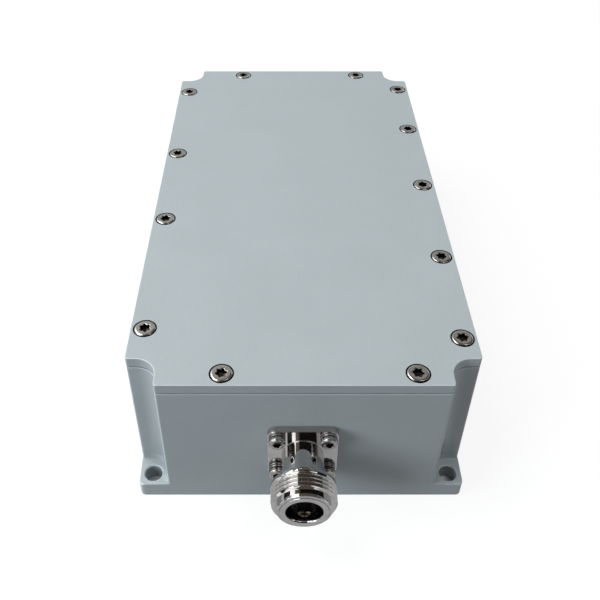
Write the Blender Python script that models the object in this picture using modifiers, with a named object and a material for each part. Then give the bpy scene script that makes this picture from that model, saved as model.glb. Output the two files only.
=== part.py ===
"""Cavity bandpass filter in a milled aluminium housing with two flange-mounted coaxial ports.

Lengths are in metres. X runs across the housing, +Y to its rear end, +Z up.
The origin is the centre of the housing's base. The front port faces -Y.
"""
import math

import bmesh
import bpy
from mathutils import Matrix, Vector

# Gap left between pieces that meet, and the overshoot of a tool past the face it cuts.
CLEARANCE = 0.0003
OVERSHOOT = 0.001

# Housing and lid.
BODY_WIDTH = 0.086
BODY_LENGTH = 0.160
LID_THICKNESS = 0.003
EDGE_CHAMFER = 0.0003

# Corner notches that leave a drilled ear at each corner of the base.
NOTCH_WIDTH = 0.0078
NOTCH_LENGTH = 0.0083
NOTCH_FILLET = 0.0052
NOTCH_END_RADIUS = 0.0007
EAR_THICKNESS = 0.0050
EAR_CORNER_RADIUS = 0.0015
EAR_HOLE_RADIUS = 0.00225
EAR_HOLE_INSET = 0.0036
EAR_HOLE_CHAMFER = 0.0003

# Heights inside, from the floor up.
FLOOR_THICKNESS = 0.0050
CAVITY_HEIGHT = 0.0254
COVER_THICKNESS = 0.0025
TUNING_ROOM = 0.0085

# Walls inside, seen from above.
SIDE_RIM = 0.0080
END_RIM = 0.0070
RECESS_CORNER_RADIUS = 0.0120
LEDGE_WIDTH = 0.0045
CAVITY_WALL = 0.0030
CAVITY_CORNER_RADIUS = 0.0040
CAVITY_ROWS = 3
WINDOW_WIDTH = 0.0140
WINDOW_SILL = 0.0040

# Lid screws. A station is a share of the straight edge between two notches, from the front or the left.
LID_SCREW_RADIUS = 0.0015
LID_SCREW_LENGTH = 0.0100
LID_SCREW_HEAD_RADIUS = 0.00275
LID_SCREW_HEAD_PROUD = 0.0003
LID_SCREW_RIM = 0.0001
LID_SCREW_RECESS_RADIUS = 0.00135
LID_SCREW_RECESS_DEPTH = 0.0011
LID_SCREW_MARGIN = 0.0006
LEFT_STATIONS = (0.070, 0.386, 0.637, 0.937)
RIGHT_STATIONS = (0.047, 0.264, 0.508, 0.747, 0.950)
FRONT_STATIONS = (0.224, 0.881)
REAR_STATIONS = (0.224, 0.847)

# Coaxial port: square flange, plain barrel, threaded collar and plug bore.
PORT_HEIGHT = 0.0213
FLANGE_WIDTH = 0.0175
FLANGE_THICKNESS = 0.0016
FLANGE_CORNER_RADIUS = 0.0022
FLANGE_HOLE_SPACING = 0.0127
BARREL_RADIUS = 0.0052
BARREL_LENGTH = 0.0091
COLLAR_RADIUS = 0.00794
COLLAR_LENGTH = 0.0056
COLLAR_CHAMFER = 0.0006
LIP_RADIUS = 0.0065
LIP_LENGTH = 0.0015
LIP_CHAMFER = 0.0003
BORE_RADIUS = 0.0041
BORE_CHAMFER = 0.0004
BORE_DEPTH = 0.0090
INSULATOR_SHOULDER_STEP = 0.0005
INSULATOR_NECK_LENGTH = 0.0035
CONTACT_RADIUS = 0.0015
CONTACT_RECESS = 0.0049
CONTACT_BORE_RADIUS = 0.0008
CONTACT_BORE_DEPTH = 0.0035
CONTACT_SLOT_WIDTH = 0.0003
CONTACT_TAIL_RADIUS = 0.0011
CONTACT_TAIL_LENGTH = 0.0030

# Flange screws with split lock washers.
FLANGE_SCREW_RADIUS = 0.00125
FLANGE_SCREW_LENGTH = 0.0080
FLANGE_SCREW_HEAD_RADIUS = 0.0021
FLANGE_SCREW_HEAD_HEIGHT = 0.0013
FLANGE_SCREW_CROWN = 0.0005
FLANGE_SCREW_TOP_RADIUS = 0.0014
FLANGE_SCREW_RECESS_RADIUS = 0.00115
FLANGE_SCREW_RECESS_DEPTH = 0.0008
WASHER_RADIUS = 0.0021
WASHER_THICKNESS = 0.0004
WASHER_SPLIT = 0.0005

# Resonator posts, their tuning screws and lock nuts.
POST_RADIUS = 0.0060
POST_HEADROOM = 0.0050
POST_FOOT_RADIUS = 0.0072
POST_FOOT_HEIGHT = 0.0015
POST_CUP_RADIUS = 0.0040
POST_CUP_DEPTH = 0.0120
POST_STUD_RADIUS = 0.0020
POST_STUD_LENGTH = 0.0030
TUNING_SCREW_RADIUS = 0.0020
TUNING_SCREW_REACH = 0.0060
TUNING_SCREW_STAND = 0.0024
TUNING_SLOT_WIDTH = 0.0007
TUNING_SLOT_DEPTH = 0.0009
LOCK_NUT_FLATS = 0.0070
LOCK_NUT_HEIGHT = 0.0022
COVER_SCREW_HEAD_RADIUS = 0.0019
COVER_SCREW_HEAD_HEIGHT = 0.0014
COVER_SCREW_LONG_SIDE_COUNT = 5
TAP_WIRE_RADIUS = 0.0005
TAP_HEIGHT = 0.0090
TAP_WIRE_BEND = 0.35

# Facets of round shapes.
LARGE_ROUND = 24
SCREW_ROUND = 14
HOLE_ROUND = 10
COVER_SCREW_ROUND = 8
EAR_HOLE_ROUND = 18
CORNER_STEPS = 5
FILLET_STEPS = 7
SMALL_STEPS = 3
WIRE_POINTS = 12
LOBES = 6
LOBE_ROOT_SHARE = 0.72
SHARP_ANGLE = math.radians(60)
SMOOTH_ANGLE = math.radians(35)
FLAT_ANGLE = math.radians(0.5)
WELD_DISTANCE = 1e-6

# Heights and places worked out from the sizes above.
CAVITY_TOP = FLOOR_THICKNESS + CAVITY_HEIGHT
COVER_BOTTOM = CAVITY_TOP + CLEARANCE
COVER_TOP = COVER_BOTTOM + COVER_THICKNESS
HOUSING_TOP = COVER_TOP + TUNING_ROOM
LID_BOTTOM = HOUSING_TOP + CLEARANCE
LID_TOP = LID_BOTTOM + LID_THICKNESS
POST_TOP = CAVITY_TOP - POST_HEADROOM
LID_SCREW_INSET = LID_SCREW_HEAD_RADIUS + CLEARANCE + LID_SCREW_MARGIN
RECESS_WIDTH = BODY_WIDTH - 2 * SIDE_RIM
RECESS_LENGTH = BODY_LENGTH - 2 * END_RIM
CAVITY_WIDTH = (RECESS_WIDTH - 2 * LEDGE_WIDTH - CAVITY_WALL) / 2
CAVITY_LENGTH = (RECESS_LENGTH - 2 * LEDGE_WIDTH - (CAVITY_ROWS - 1) * CAVITY_WALL) / CAVITY_ROWS
END_WALL = END_RIM + LEDGE_WIDTH
COLUMN_X = (CAVITY_WIDTH + CAVITY_WALL) / 2
ROW_PITCH = CAVITY_LENGTH + CAVITY_WALL
FLANGE_TOP = CLEARANCE + FLANGE_THICKNESS
COLLAR_START = FLANGE_TOP + BARREL_LENGTH
COLLAR_END = COLLAR_START + COLLAR_LENGTH
MOUTH = COLLAR_END + LIP_LENGTH
INSULATOR_FACE = MOUTH - BORE_DEPTH
SHELL_SHOULDER = INSULATOR_FACE - INSULATOR_NECK_LENGTH
SHELL_REAR_RADIUS = BORE_RADIUS + INSULATOR_SHOULDER_STEP
CONTACT_FACE = MOUTH - CONTACT_RECESS
CONTACT_END = -END_WALL - CONTACT_TAIL_LENGTH
WASHER_BOTTOM = FLANGE_TOP + CLEARANCE
FLANGE_SCREW_SEAT = WASHER_BOTTOM + WASHER_THICKNESS + CLEARANCE

PARTS = bpy.data.collections.new("bandpass_filter")
CUTTERS = bpy.data.collections.new("cutters")


def start_scene():
    """Clear the scene and add the collections for the parts and their cutting tools."""
    for old in list(bpy.data.objects):
        bpy.data.objects.remove(old, do_unlink=True)
    for collection in (PARTS, CUTTERS):
        bpy.context.scene.collection.children.link(collection)


def make_material(name, colour, roughness, metallic):
    """A Principled material with one base colour."""
    material = bpy.data.materials.new(name)
    material.use_nodes = True
    shader = material.node_tree.nodes["Principled BSDF"]
    shader.inputs["Base Color"].default_value = (*colour, 1.0)
    shader.inputs["Roughness"].default_value = roughness
    shader.inputs["Metallic"].default_value = metallic
    return material


def arc(centre_x, centre_y, radius, start_degrees, end_degrees, steps):
    """Points along an arc, both ends included."""
    points = []
    for step in range(steps + 1):
        angle = math.radians(start_degrees + (end_degrees - start_degrees) * step / steps)
        points.append((centre_x + radius * math.cos(angle), centre_y + radius * math.sin(angle)))
    return points


def rounded_rectangle(width, length, radius, steps):
    """Outline of a rectangle about the origin with four equal round corners."""
    x = width / 2 - radius
    y = length / 2 - radius
    outline = arc(x, y, radius, 0, 90, steps)
    outline += arc(-x, y, radius, 90, 180, steps)
    outline += arc(-x, -y, radius, 180, 270, steps)
    outline += arc(x, -y, radius, 270, 360, steps)
    return outline


def lobed_outline(radius):
    """Outline of a six-lobed driver recess, alternately at a lobe and between two."""
    outline = []
    for point in range(2 * LOBES):
        angle = math.pi * point / LOBES
        reach = radius if point % 2 == 0 else LOBE_ROOT_SHARE * radius
        outline.append((reach * math.cos(angle), reach * math.sin(angle)))
    return outline


def link(obj, collection):
    """Put an object in one collection and mark cutting tools as such."""
    collection.objects.link(obj)
    if collection == CUTTERS:
        obj.hide_render = True
        obj.display_type = "WIRE"
    return obj


def prism(name, outline, bottom, top, collection):
    """A flat outline raised from one height to another, as a closed mesh."""
    curve = bpy.data.curves.new(name, "CURVE")
    curve.dimensions = "2D"
    curve.fill_mode = "BOTH"
    curve.extrude = (top - bottom) / 2
    spline = curve.splines.new("POLY")
    spline.points.add(len(outline) - 1)
    for point, (x, y) in zip(spline.points, outline):
        point.co = (x, y, 0.0, 1.0)
    spline.use_cyclic_u = True
    flat = bpy.data.objects.new(name + "_outline", curve)
    bpy.context.scene.collection.objects.link(flat)
    obj = bpy.data.objects.new(name, mesh_of(flat))
    obj.location.z = (top + bottom) / 2
    bpy.data.objects.remove(flat)
    return link(obj, collection)


def mesh_of(obj):
    """The evaluated mesh of an object, with its seams welded and its flat faces made whole."""
    bpy.context.view_layer.update()
    graph = bpy.context.evaluated_depsgraph_get()
    mesh = bpy.data.meshes.new_from_object(obj.evaluated_get(graph))
    bm = bmesh.new()
    bm.from_mesh(mesh)
    bmesh.ops.remove_doubles(bm, verts=bm.verts, dist=WELD_DISTANCE)
    bmesh.ops.dissolve_degenerate(bm, edges=bm.edges, dist=WELD_DISTANCE)
    bmesh.ops.dissolve_limit(bm, angle_limit=FLAT_ANGLE, verts=bm.verts, edges=bm.edges)
    bmesh.ops.recalc_face_normals(bm, faces=bm.faces)
    bm.to_mesh(mesh)
    bm.free()
    return mesh


def turned(name, profile, segments, collection, ring=False):
    """A profile of radius and height pairs, top to bottom, turned about local Z."""
    mesh = bpy.data.meshes.new(name)
    vertices = [(radius, 0.0, height) for radius, height in profile]
    edges = [(index, index + 1) for index in range(len(vertices) - 1)]
    if ring:
        edges.append((len(vertices) - 1, 0))
    mesh.from_pydata(vertices, edges, [])
    obj = link(bpy.data.objects.new(name, mesh), collection)
    turn = obj.modifiers.new("Turn", "SCREW")
    turn.steps = segments
    turn.render_steps = segments
    turn.use_merge_vertices = True
    turn.merge_threshold = WELD_DISTANCE
    return obj


def drills(name, places, radius, top, bottom, segments=HOLE_ROUND):
    """One cutter of equal plain cylinders, each from bottom to top along its place's own Z."""
    bm = bmesh.new()
    middle = Matrix.Translation((0.0, 0.0, (top + bottom) / 2))
    for place in places:
        bmesh.ops.create_cone(bm, cap_ends=True, segments=segments, radius1=radius, radius2=radius,
                              depth=top - bottom, matrix=place @ middle)
    return bmesh_object(name, bm, CUTTERS)


def box(name, low, high, collection):
    """A rectangular block between two corners."""
    bm = bmesh.new()
    bmesh.ops.create_cube(bm, size=1.0)
    size = [b - a for a, b in zip(low, high)]
    middle = [(a + b) / 2 for a, b in zip(low, high)]
    bmesh.ops.scale(bm, vec=size, verts=bm.verts)
    bmesh.ops.translate(bm, vec=middle, verts=bm.verts)
    return bmesh_object(name, bm, collection)


def bmesh_object(name, bm, collection):
    """An object from a finished bmesh."""
    mesh = bpy.data.meshes.new(name)
    bm.to_mesh(mesh)
    bm.free()
    return link(bpy.data.objects.new(name, mesh), collection)


def copies(name, source, places):
    """One cutter made of copies of a tool's mesh, and the tool itself removed."""
    bm = bmesh.new()
    mesh = mesh_of(source)
    for place in places:
        before = len(bm.verts)
        bm.from_mesh(mesh)
        bm.verts.ensure_lookup_table()
        bmesh.ops.transform(bm, matrix=place, verts=bm.verts[before:])
    bmesh.ops.recalc_face_normals(bm, faces=bm.faces)
    bpy.data.objects.remove(source)
    return bmesh_object(name, bm, CUTTERS)


def boolean(obj, tool, operation="DIFFERENCE"):
    """Cut a tool out of an object, or unite the two."""
    modifier = obj.modifiers.new(tool.name, "BOOLEAN")
    modifier.operation = operation
    modifier.solver = "EXACT"
    modifier.object = tool


def chamfer_edges(obj, width):
    """Break the sharp top and bottom edges of a prism."""
    bevel = obj.modifiers.new("Edge chamfer", "BEVEL")
    bevel.width = width
    bevel.segments = 1
    bevel.limit_method = "ANGLE"
    bevel.angle_limit = SHARP_ANGLE


def shade_round(mesh):
    """Smooth the facets of round faces and keep the real edges sharp."""
    mesh.shade_smooth()
    mesh.set_sharp_from_angle(angle=SMOOTH_ANGLE)


def settle(obj, material, parent=None):
    """Turn an object with its modifiers into one finished, shaded part."""
    finished = mesh_of(obj)
    finished.name = obj.name
    obj.modifiers.clear()
    obj.data = finished
    finished.materials.clear()
    finished.materials.append(material)
    shade_round(finished)
    if parent:
        obj.parent = parent
    return obj


def repeat(source, names, places, parent=None):
    """Share one finished mesh between named parts, one at each place."""
    for name, place in zip(names, places):
        part = link(bpy.data.objects.new(name, source.data), PARTS)
        part.matrix_local = place
        part.parent = parent
    bpy.data.objects.remove(source)


def at(x, y, z):
    """A place with no turn."""
    return Matrix.Translation((x, y, z))


def lid_screw_places():
    """The lid's screw axes on the lid's top face, side by side with the edges they follow."""
    run_x = BODY_WIDTH - 2 * NOTCH_WIDTH
    run_y = BODY_LENGTH - 2 * NOTCH_LENGTH
    side_x = BODY_WIDTH / 2 - LID_SCREW_INSET
    end_y = BODY_LENGTH / 2 - LID_SCREW_INSET
    places = [at(-side_x, (share - 0.5) * run_y, LID_TOP) for share in LEFT_STATIONS]
    places += [at(side_x, (share - 0.5) * run_y, LID_TOP) for share in RIGHT_STATIONS]
    places += [at((share - 0.5) * run_x, -end_y, LID_TOP) for share in FRONT_STATIONS]
    places += [at((share - 0.5) * run_x, end_y, LID_TOP) for share in REAR_STATIONS]
    return places


def post_places():
    """Resonator axes on the cavity floor, in the order in which the signal passes them."""
    places = []
    for row in range(CAVITY_ROWS):
        y = (row - (CAVITY_ROWS - 1) / 2) * ROW_PITCH
        sides = (-1, 1) if row % 2 == 0 else (1, -1)
        places += [at(side * COLUMN_X, y, FLOOR_THICKNESS) for side in sides]
    return places


def port_frames():
    """Places on the end walls with local Z pointing out of the housing and local Y up."""
    front = at(0.0, -BODY_LENGTH / 2, PORT_HEIGHT) @ Matrix.Rotation(math.radians(90), 4, "X")
    return {"front": front, "rear": Matrix.Rotation(math.radians(180), 4, "Z") @ front}


def flange_corners():
    """The four screw axes of a port's flange, in the port's own frame."""
    half = FLANGE_HOLE_SPACING / 2
    return [at(x, y, 0.0) for x, y in ((-half, half), (half, half), (-half, -half), (half, -half))]


def window_boxes():
    """Openings in the walls between one cavity and the next along the signal's path."""
    low = FLOOR_THICKNESS + WINDOW_SILL
    high = CAVITY_TOP + OVERSHOOT
    through = CAVITY_WALL / 2 + OVERSHOOT
    half = WINDOW_WIDTH / 2
    boxes = []
    for row in range(CAVITY_ROWS):
        y = (row - (CAVITY_ROWS - 1) / 2) * ROW_PITCH
        boxes.append(((-through, y - half, low), (through, y + half, high)))
    # The first and last windows run to the end walls, round the ports' contacts.
    wide = CAVITY_WALL / 2 + CAVITY_CORNER_RADIUS
    wall_y = BODY_LENGTH / 2 - END_WALL + CLEARANCE
    boxes[0] = ((-wide, -wall_y, low), (wide, WINDOW_WIDTH - wall_y, high))
    boxes[-1] = ((-wide, wall_y - WINDOW_WIDTH, low), (wide, wall_y, high))
    for row in range(CAVITY_ROWS - 1):
        x = COLUMN_X if row % 2 == 0 else -COLUMN_X
        y = (row + 1 - CAVITY_ROWS / 2) * ROW_PITCH
        boxes.append(((x - half, y - through, low), (x + half, y + through, high)))
    return boxes


def make_housing(paint, notches):
    """The milled block with its four ears, the stepped cavities and all its holes."""
    base = prism("housing", rounded_rectangle(BODY_WIDTH, BODY_LENGTH, EAR_CORNER_RADIUS, CORNER_STEPS),
                 0.0, HOUSING_TOP, PARTS)
    boolean(base, notches)
    base.data = mesh_of(base)
    base.modifiers.clear()
    chamfer_ears(base.data)

    outline = rounded_rectangle(RECESS_WIDTH, RECESS_LENGTH, RECESS_CORNER_RADIUS, FILLET_STEPS)
    boolean(base, prism("cover_recess", outline, CAVITY_TOP, HOUSING_TOP + OVERSHOOT, CUTTERS))
    outline = rounded_rectangle(CAVITY_WIDTH, CAVITY_LENGTH, CAVITY_CORNER_RADIUS, SMALL_STEPS)
    pocket = prism("pocket", outline, 0.0, CAVITY_HEIGHT + OVERSHOOT, CUTTERS)
    middle = at(0, 0, pocket.location.z)
    boolean(base, copies("pockets", pocket, [place @ middle for place in post_places()]))
    for number, (low, high) in enumerate(window_boxes(), start=1):
        boolean(base, box("coupling_window_%d" % number, low, high, CUTTERS))
    boolean(base, drills("stud_holes", post_places(), POST_STUD_RADIUS + CLEARANCE,
                         OVERSHOOT, -POST_STUD_LENGTH - CLEARANCE))

    screw_depth = LID_SCREW_LENGTH + CLEARANCE
    boolean(base, drills("lid_screw_holes", lid_screw_places(), LID_SCREW_RADIUS + CLEARANCE,
                         OVERSHOOT, -screw_depth))
    for name, frame in port_frames().items():
        boolean(base, drills(name + "_port_bore", [frame], SHELL_REAR_RADIUS,
                             OVERSHOOT, -END_WALL - OVERSHOOT, LARGE_ROUND))
        tapped = FLANGE_SCREW_LENGTH - FLANGE_SCREW_SEAT + CLEARANCE
        boolean(base, drills(name + "_flange_screw_holes", [frame @ corner for corner in flange_corners()],
                             FLANGE_SCREW_RADIUS + CLEARANCE, OVERSHOOT, -tapped))
    boolean(base, ear_hole_cutter())
    return settle(base, paint)


def notch_cutter():
    """The space above the four ears, flared where it runs out in a side or an end."""
    x = BODY_WIDTH / 2
    y = BODY_LENGTH / 2
    wall_x = x - NOTCH_WIDTH
    wall_y = y - NOTCH_LENGTH
    end = NOTCH_END_RADIUS
    outline = [(x + OVERSHOOT, wall_y - end)]
    outline += arc(x - end, wall_y - end, end, 0, 90, SMALL_STEPS)
    outline += arc(wall_x + NOTCH_FILLET, wall_y + NOTCH_FILLET, NOTCH_FILLET, 270, 180, FILLET_STEPS)
    outline += arc(wall_x - end, y - end, end, 0, 90, SMALL_STEPS)
    outline += [(wall_x - end, y + OVERSHOOT), (x + OVERSHOOT, y + OVERSHOOT)]
    tool = prism("notch", outline, EAR_THICKNESS, LID_TOP + OVERSHOOT, CUTTERS)
    middle = at(0, 0, tool.location.z)
    flips = [Matrix.Diagonal((side, face, 1, 1)) for side in (1, -1) for face in (1, -1)]
    return copies("notches", tool, [flip @ middle for flip in flips])


def chamfer_ears(mesh):
    """Break the base's lower edge and the outer top edges of the ears."""
    bm = bmesh.new()
    bm.from_mesh(mesh)
    edges = []
    for edge in bm.edges:
        heights = [vertex.co.z for vertex in edge.verts]
        low = max(heights) < EDGE_CHAMFER
        ear = all(abs(height - EAR_THICKNESS) < EDGE_CHAMFER / 2 for height in heights)
        if (low or ear) and edge.calc_face_angle_signed() > SHARP_ANGLE:
            edges.append(edge)
    bmesh.ops.bevel(bm, geom=edges, offset=EDGE_CHAMFER, offset_type="OFFSET", segments=1, profile=0.5,
                    affect="EDGES", material=-1)
    bm.to_mesh(mesh)
    bm.free()


def ear_hole_cutter():
    """Four through holes in the ears, chamfered on both faces."""
    wide = EAR_HOLE_RADIUS + EAR_HOLE_CHAMFER + OVERSHOOT
    profile = [(0.0, EAR_THICKNESS + OVERSHOOT), (wide, EAR_THICKNESS + OVERSHOOT),
               (EAR_HOLE_RADIUS, EAR_THICKNESS - EAR_HOLE_CHAMFER), (EAR_HOLE_RADIUS, EAR_HOLE_CHAMFER),
               (wide, -OVERSHOOT), (0.0, -OVERSHOOT)]
    tool = turned("ear_hole", profile, EAR_HOLE_ROUND, CUTTERS)
    x = BODY_WIDTH / 2 - EAR_HOLE_INSET
    y = BODY_LENGTH / 2 - EAR_HOLE_INSET
    return copies("ear_holes", tool, [at(side * x, end * y, 0.0) for side in (-1, 1) for end in (-1, 1)])


def make_lid(paint, notches):
    """The flat lid with the housing's own outline and countersunk screw holes."""
    lid = prism("lid", rounded_rectangle(BODY_WIDTH, BODY_LENGTH, EAR_CORNER_RADIUS, CORNER_STEPS),
                LID_BOTTOM, LID_TOP, PARTS)
    boolean(lid, notches)
    chamfer_edges(lid, EDGE_CHAMFER)
    wide = LID_SCREW_HEAD_RADIUS + CLEARANCE
    shank = LID_SCREW_RADIUS + CLEARANCE
    step = LID_SCREW_RIM + CLEARANCE / 2
    profile = [(0.0, OVERSHOOT), (wide, OVERSHOOT), (wide, -step), (shank, -step - (wide - shank)),
               (shank, -LID_THICKNESS - OVERSHOOT), (0.0, -LID_THICKNESS - OVERSHOOT)]
    tool = turned("countersink", profile, SCREW_ROUND, CUTTERS)
    boolean(lid, copies("countersinks", tool, lid_screw_places()))
    return settle(lid, paint)


def make_lid_screws(steel):
    """Countersunk screws with a thin raised rim and a six-lobed recess."""
    head = LID_SCREW_HEAD_RADIUS
    cone_end = -LID_SCREW_RIM - (head - LID_SCREW_RADIUS)
    profile = [(0.0, LID_SCREW_HEAD_PROUD), (head - EDGE_CHAMFER, LID_SCREW_HEAD_PROUD), (head, 0.0),
               (head, -LID_SCREW_RIM), (LID_SCREW_RADIUS, cone_end), (LID_SCREW_RADIUS, -LID_SCREW_LENGTH),
               (0.0, -LID_SCREW_LENGTH)]
    screw = turned("lid_screw", profile, SCREW_ROUND, PARTS)
    top = LID_SCREW_HEAD_PROUD
    boolean(screw, prism("lid_screw_recess", lobed_outline(LID_SCREW_RECESS_RADIUS),
                         top - LID_SCREW_RECESS_DEPTH, top + OVERSHOOT, CUTTERS))
    settle(screw, steel)
    places = lid_screw_places()
    repeat(screw, ["lid_screw_%02d" % number for number in range(1, len(places) + 1)], places)


def make_port_frame(name, frame):
    """An empty on the wall that carries one port's pieces."""
    empty = bpy.data.objects.new(name + "_port", None)
    empty.empty_display_size = FLANGE_WIDTH
    empty.matrix_world = frame
    PARTS.objects.link(empty)
    return empty


def make_shell(name, parent, plating):
    """The port's one-piece body: flange, barrel, collar and lip around a stepped bore."""
    square = rounded_rectangle(FLANGE_WIDTH, FLANGE_WIDTH, FLANGE_CORNER_RADIUS, CORNER_STEPS)
    shell = prism(name + "_port_shell", square, CLEARANCE, FLANGE_TOP, PARTS)
    chamfer = COLLAR_CHAMFER
    root = FLANGE_TOP - FLANGE_THICKNESS / 2
    profile = [(0.0, MOUTH), (LIP_RADIUS - LIP_CHAMFER, MOUTH), (LIP_RADIUS, MOUTH - LIP_CHAMFER),
               (LIP_RADIUS, COLLAR_END), (COLLAR_RADIUS - chamfer, COLLAR_END),
               (COLLAR_RADIUS, COLLAR_END - chamfer), (COLLAR_RADIUS, COLLAR_START + chamfer),
               (COLLAR_RADIUS - chamfer, COLLAR_START), (BARREL_RADIUS, COLLAR_START),
               (BARREL_RADIUS, root), (0.0, root)]
    barrel = turned(name + "_port_barrel", profile, LARGE_ROUND, CUTTERS)
    bore = BORE_RADIUS
    wide = bore + BORE_CHAMFER + OVERSHOOT
    profile = [(0.0, MOUTH + OVERSHOOT), (wide, MOUTH + OVERSHOOT), (bore, MOUTH - BORE_CHAMFER),
               (bore, SHELL_SHOULDER), (SHELL_REAR_RADIUS, SHELL_SHOULDER), (SHELL_REAR_RADIUS, -OVERSHOOT),
               (0.0, -OVERSHOOT)]
    bore_tool = turned(name + "_port_bore_tool", profile, LARGE_ROUND, CUTTERS)
    holes = drills(name + "_flange_holes", flange_corners(), FLANGE_SCREW_RADIUS + CLEARANCE,
                   FLANGE_TOP + OVERSHOOT, -OVERSHOOT)
    for tool, operation in ((barrel, "UNION"), (bore_tool, "DIFFERENCE"), (holes, "DIFFERENCE")):
        boolean(shell, tool, operation)
    settle(shell, plating, parent)


def make_insulator(name, parent, plastic):
    """The stepped insulating sleeve that holds the contact and fills the bore in the wall."""
    hole = CONTACT_RADIUS + CLEARANCE
    thin = BORE_RADIUS - CLEARANCE
    thick = SHELL_REAR_RADIUS - CLEARANCE
    step = SHELL_SHOULDER - CLEARANCE
    profile = [(thin, INSULATOR_FACE), (thin, step), (thick, step), (thick, -END_WALL), (hole, -END_WALL),
               (hole, INSULATOR_FACE)]
    sleeve = turned(name + "_port_insulator", profile, SCREW_ROUND, PARTS, ring=True)
    settle(sleeve, plastic, parent)


def make_contact(name, parent, gold):
    """The socket contact: a bored and slotted front end and a thinner tail in the cavity."""
    bore_end = CONTACT_FACE - CONTACT_BORE_DEPTH
    profile = [(0.0, bore_end), (CONTACT_BORE_RADIUS, bore_end), (CONTACT_BORE_RADIUS, CONTACT_FACE),
               (CONTACT_RADIUS, CONTACT_FACE), (CONTACT_RADIUS, -END_WALL), (CONTACT_TAIL_RADIUS, -END_WALL),
               (CONTACT_TAIL_RADIUS, CONTACT_END), (0.0, CONTACT_END)]
    contact = turned(name + "_port_contact", profile, SCREW_ROUND, PARTS)
    half = CONTACT_SLOT_WIDTH / 2
    reach = CONTACT_RADIUS + OVERSHOOT
    for axis, low, high in (("x", (-reach, -half), (reach, half)), ("y", (-half, -reach), (half, reach))):
        tool = name + "_contact_slot_" + axis
        boolean(contact, box(tool, (*low, bore_end + half), (*high, CONTACT_FACE + OVERSHOOT), CUTTERS))
    settle(contact, gold, parent)


def make_flange_screws(name, parent, steel):
    """Crowned screws with a six-lobed recess, one in each corner of the flange."""
    top = FLANGE_SCREW_HEAD_HEIGHT
    side = top - FLANGE_SCREW_CROWN
    head = FLANGE_SCREW_HEAD_RADIUS
    profile = [(0.0, top), (FLANGE_SCREW_TOP_RADIUS, top), (head, side), (head, 0.0),
               (FLANGE_SCREW_RADIUS, 0.0), (FLANGE_SCREW_RADIUS, -FLANGE_SCREW_LENGTH),
               (0.0, -FLANGE_SCREW_LENGTH)]
    screw = turned("flange_screw", profile, SCREW_ROUND, PARTS)
    boolean(screw, prism("flange_screw_recess", lobed_outline(FLANGE_SCREW_RECESS_RADIUS),
                         top - FLANGE_SCREW_RECESS_DEPTH, top + OVERSHOOT, CUTTERS))
    settle(screw, steel)
    places = [corner @ at(0, 0, FLANGE_SCREW_SEAT) for corner in flange_corners()]
    repeat(screw, ["%s_port_screw_%d" % (name, number) for number in range(1, 5)], places, parent)


def make_washers(name, parent, steel):
    """Split lock washers under the flange screws' heads."""
    hole = FLANGE_SCREW_RADIUS + CLEARANCE
    profile = [(WASHER_RADIUS, WASHER_THICKNESS), (WASHER_RADIUS, 0.0), (hole, 0.0), (hole, WASHER_THICKNESS)]
    washer = turned("washer", profile, SCREW_ROUND, PARTS, ring=True)
    half = WASHER_SPLIT / 2
    boolean(washer, box(name + "_washer_split", (-half, 0.0, -OVERSHOOT),
                        (half, WASHER_RADIUS + OVERSHOOT, WASHER_THICKNESS + OVERSHOOT), CUTTERS))
    settle(washer, steel)
    places = [corner @ at(0, 0, WASHER_BOTTOM) for corner in flange_corners()]
    repeat(washer, ["%s_port_washer_%d" % (name, number) for number in range(1, 5)], places, parent)


def make_tuning_cover(plate):
    """The inner cover plate on its ledge, with tuning holes and its own small screws."""
    gap = CLEARANCE
    outline = rounded_rectangle(RECESS_WIDTH - 2 * gap, RECESS_LENGTH - 2 * gap,
                                RECESS_CORNER_RADIUS - gap, FILLET_STEPS)
    cover = prism("tuning_cover", outline, COVER_BOTTOM, COVER_TOP, PARTS)
    heads = drills("cover_screw_heads", cover_screw_places(), COVER_SCREW_HEAD_RADIUS,
                   COVER_SCREW_HEAD_HEIGHT, -COVER_THICKNESS / 2, COVER_SCREW_ROUND)
    boolean(cover, heads, "UNION")
    boolean(cover, drills("tuning_holes", post_places(), TUNING_SCREW_RADIUS + CLEARANCE,
                          HOUSING_TOP, 0.0))
    settle(cover, plate)


def cover_screw_places():
    """Screw axes on the cover's top face, above the ledge and the middle wall."""
    x = RECESS_WIDTH / 2 - LEDGE_WIDTH / 2
    y = RECESS_LENGTH / 2 - LEDGE_WIDTH / 2
    reach = y - RECESS_CORNER_RADIUS
    last = COVER_SCREW_LONG_SIDE_COUNT - 1
    places = [at(side * x, reach * (2 * number / last - 1), COVER_TOP)
              for side in (-1, 1) for number in range(COVER_SCREW_LONG_SIDE_COUNT)]
    places += [at(side * COLUMN_X, end * y, COVER_TOP) for side in (-1, 1) for end in (-1, 1)]
    places += [at(0.0, end * ROW_PITCH / 2, COVER_TOP) for end in (-1, 1)]
    return places


def make_resonators(silver):
    """Posts with a hollow top, a foot and a stud that sits in the floor."""
    height = POST_TOP - FLOOR_THICKNESS
    cup = height - POST_CUP_DEPTH
    foot = CLEARANCE + POST_FOOT_HEIGHT
    profile = [(0.0, cup), (POST_CUP_RADIUS, cup), (POST_CUP_RADIUS, height), (POST_RADIUS, height),
               (POST_RADIUS, foot), (POST_FOOT_RADIUS, foot), (POST_FOOT_RADIUS, CLEARANCE),
               (POST_STUD_RADIUS, CLEARANCE), (POST_STUD_RADIUS, -POST_STUD_LENGTH), (0.0, -POST_STUD_LENGTH)]
    post = turned("resonator", profile, SCREW_ROUND, PARTS)
    settle(post, silver)
    places = post_places()
    repeat(post, ["resonator_%d" % number for number in range(1, len(places) + 1)], places)


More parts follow.
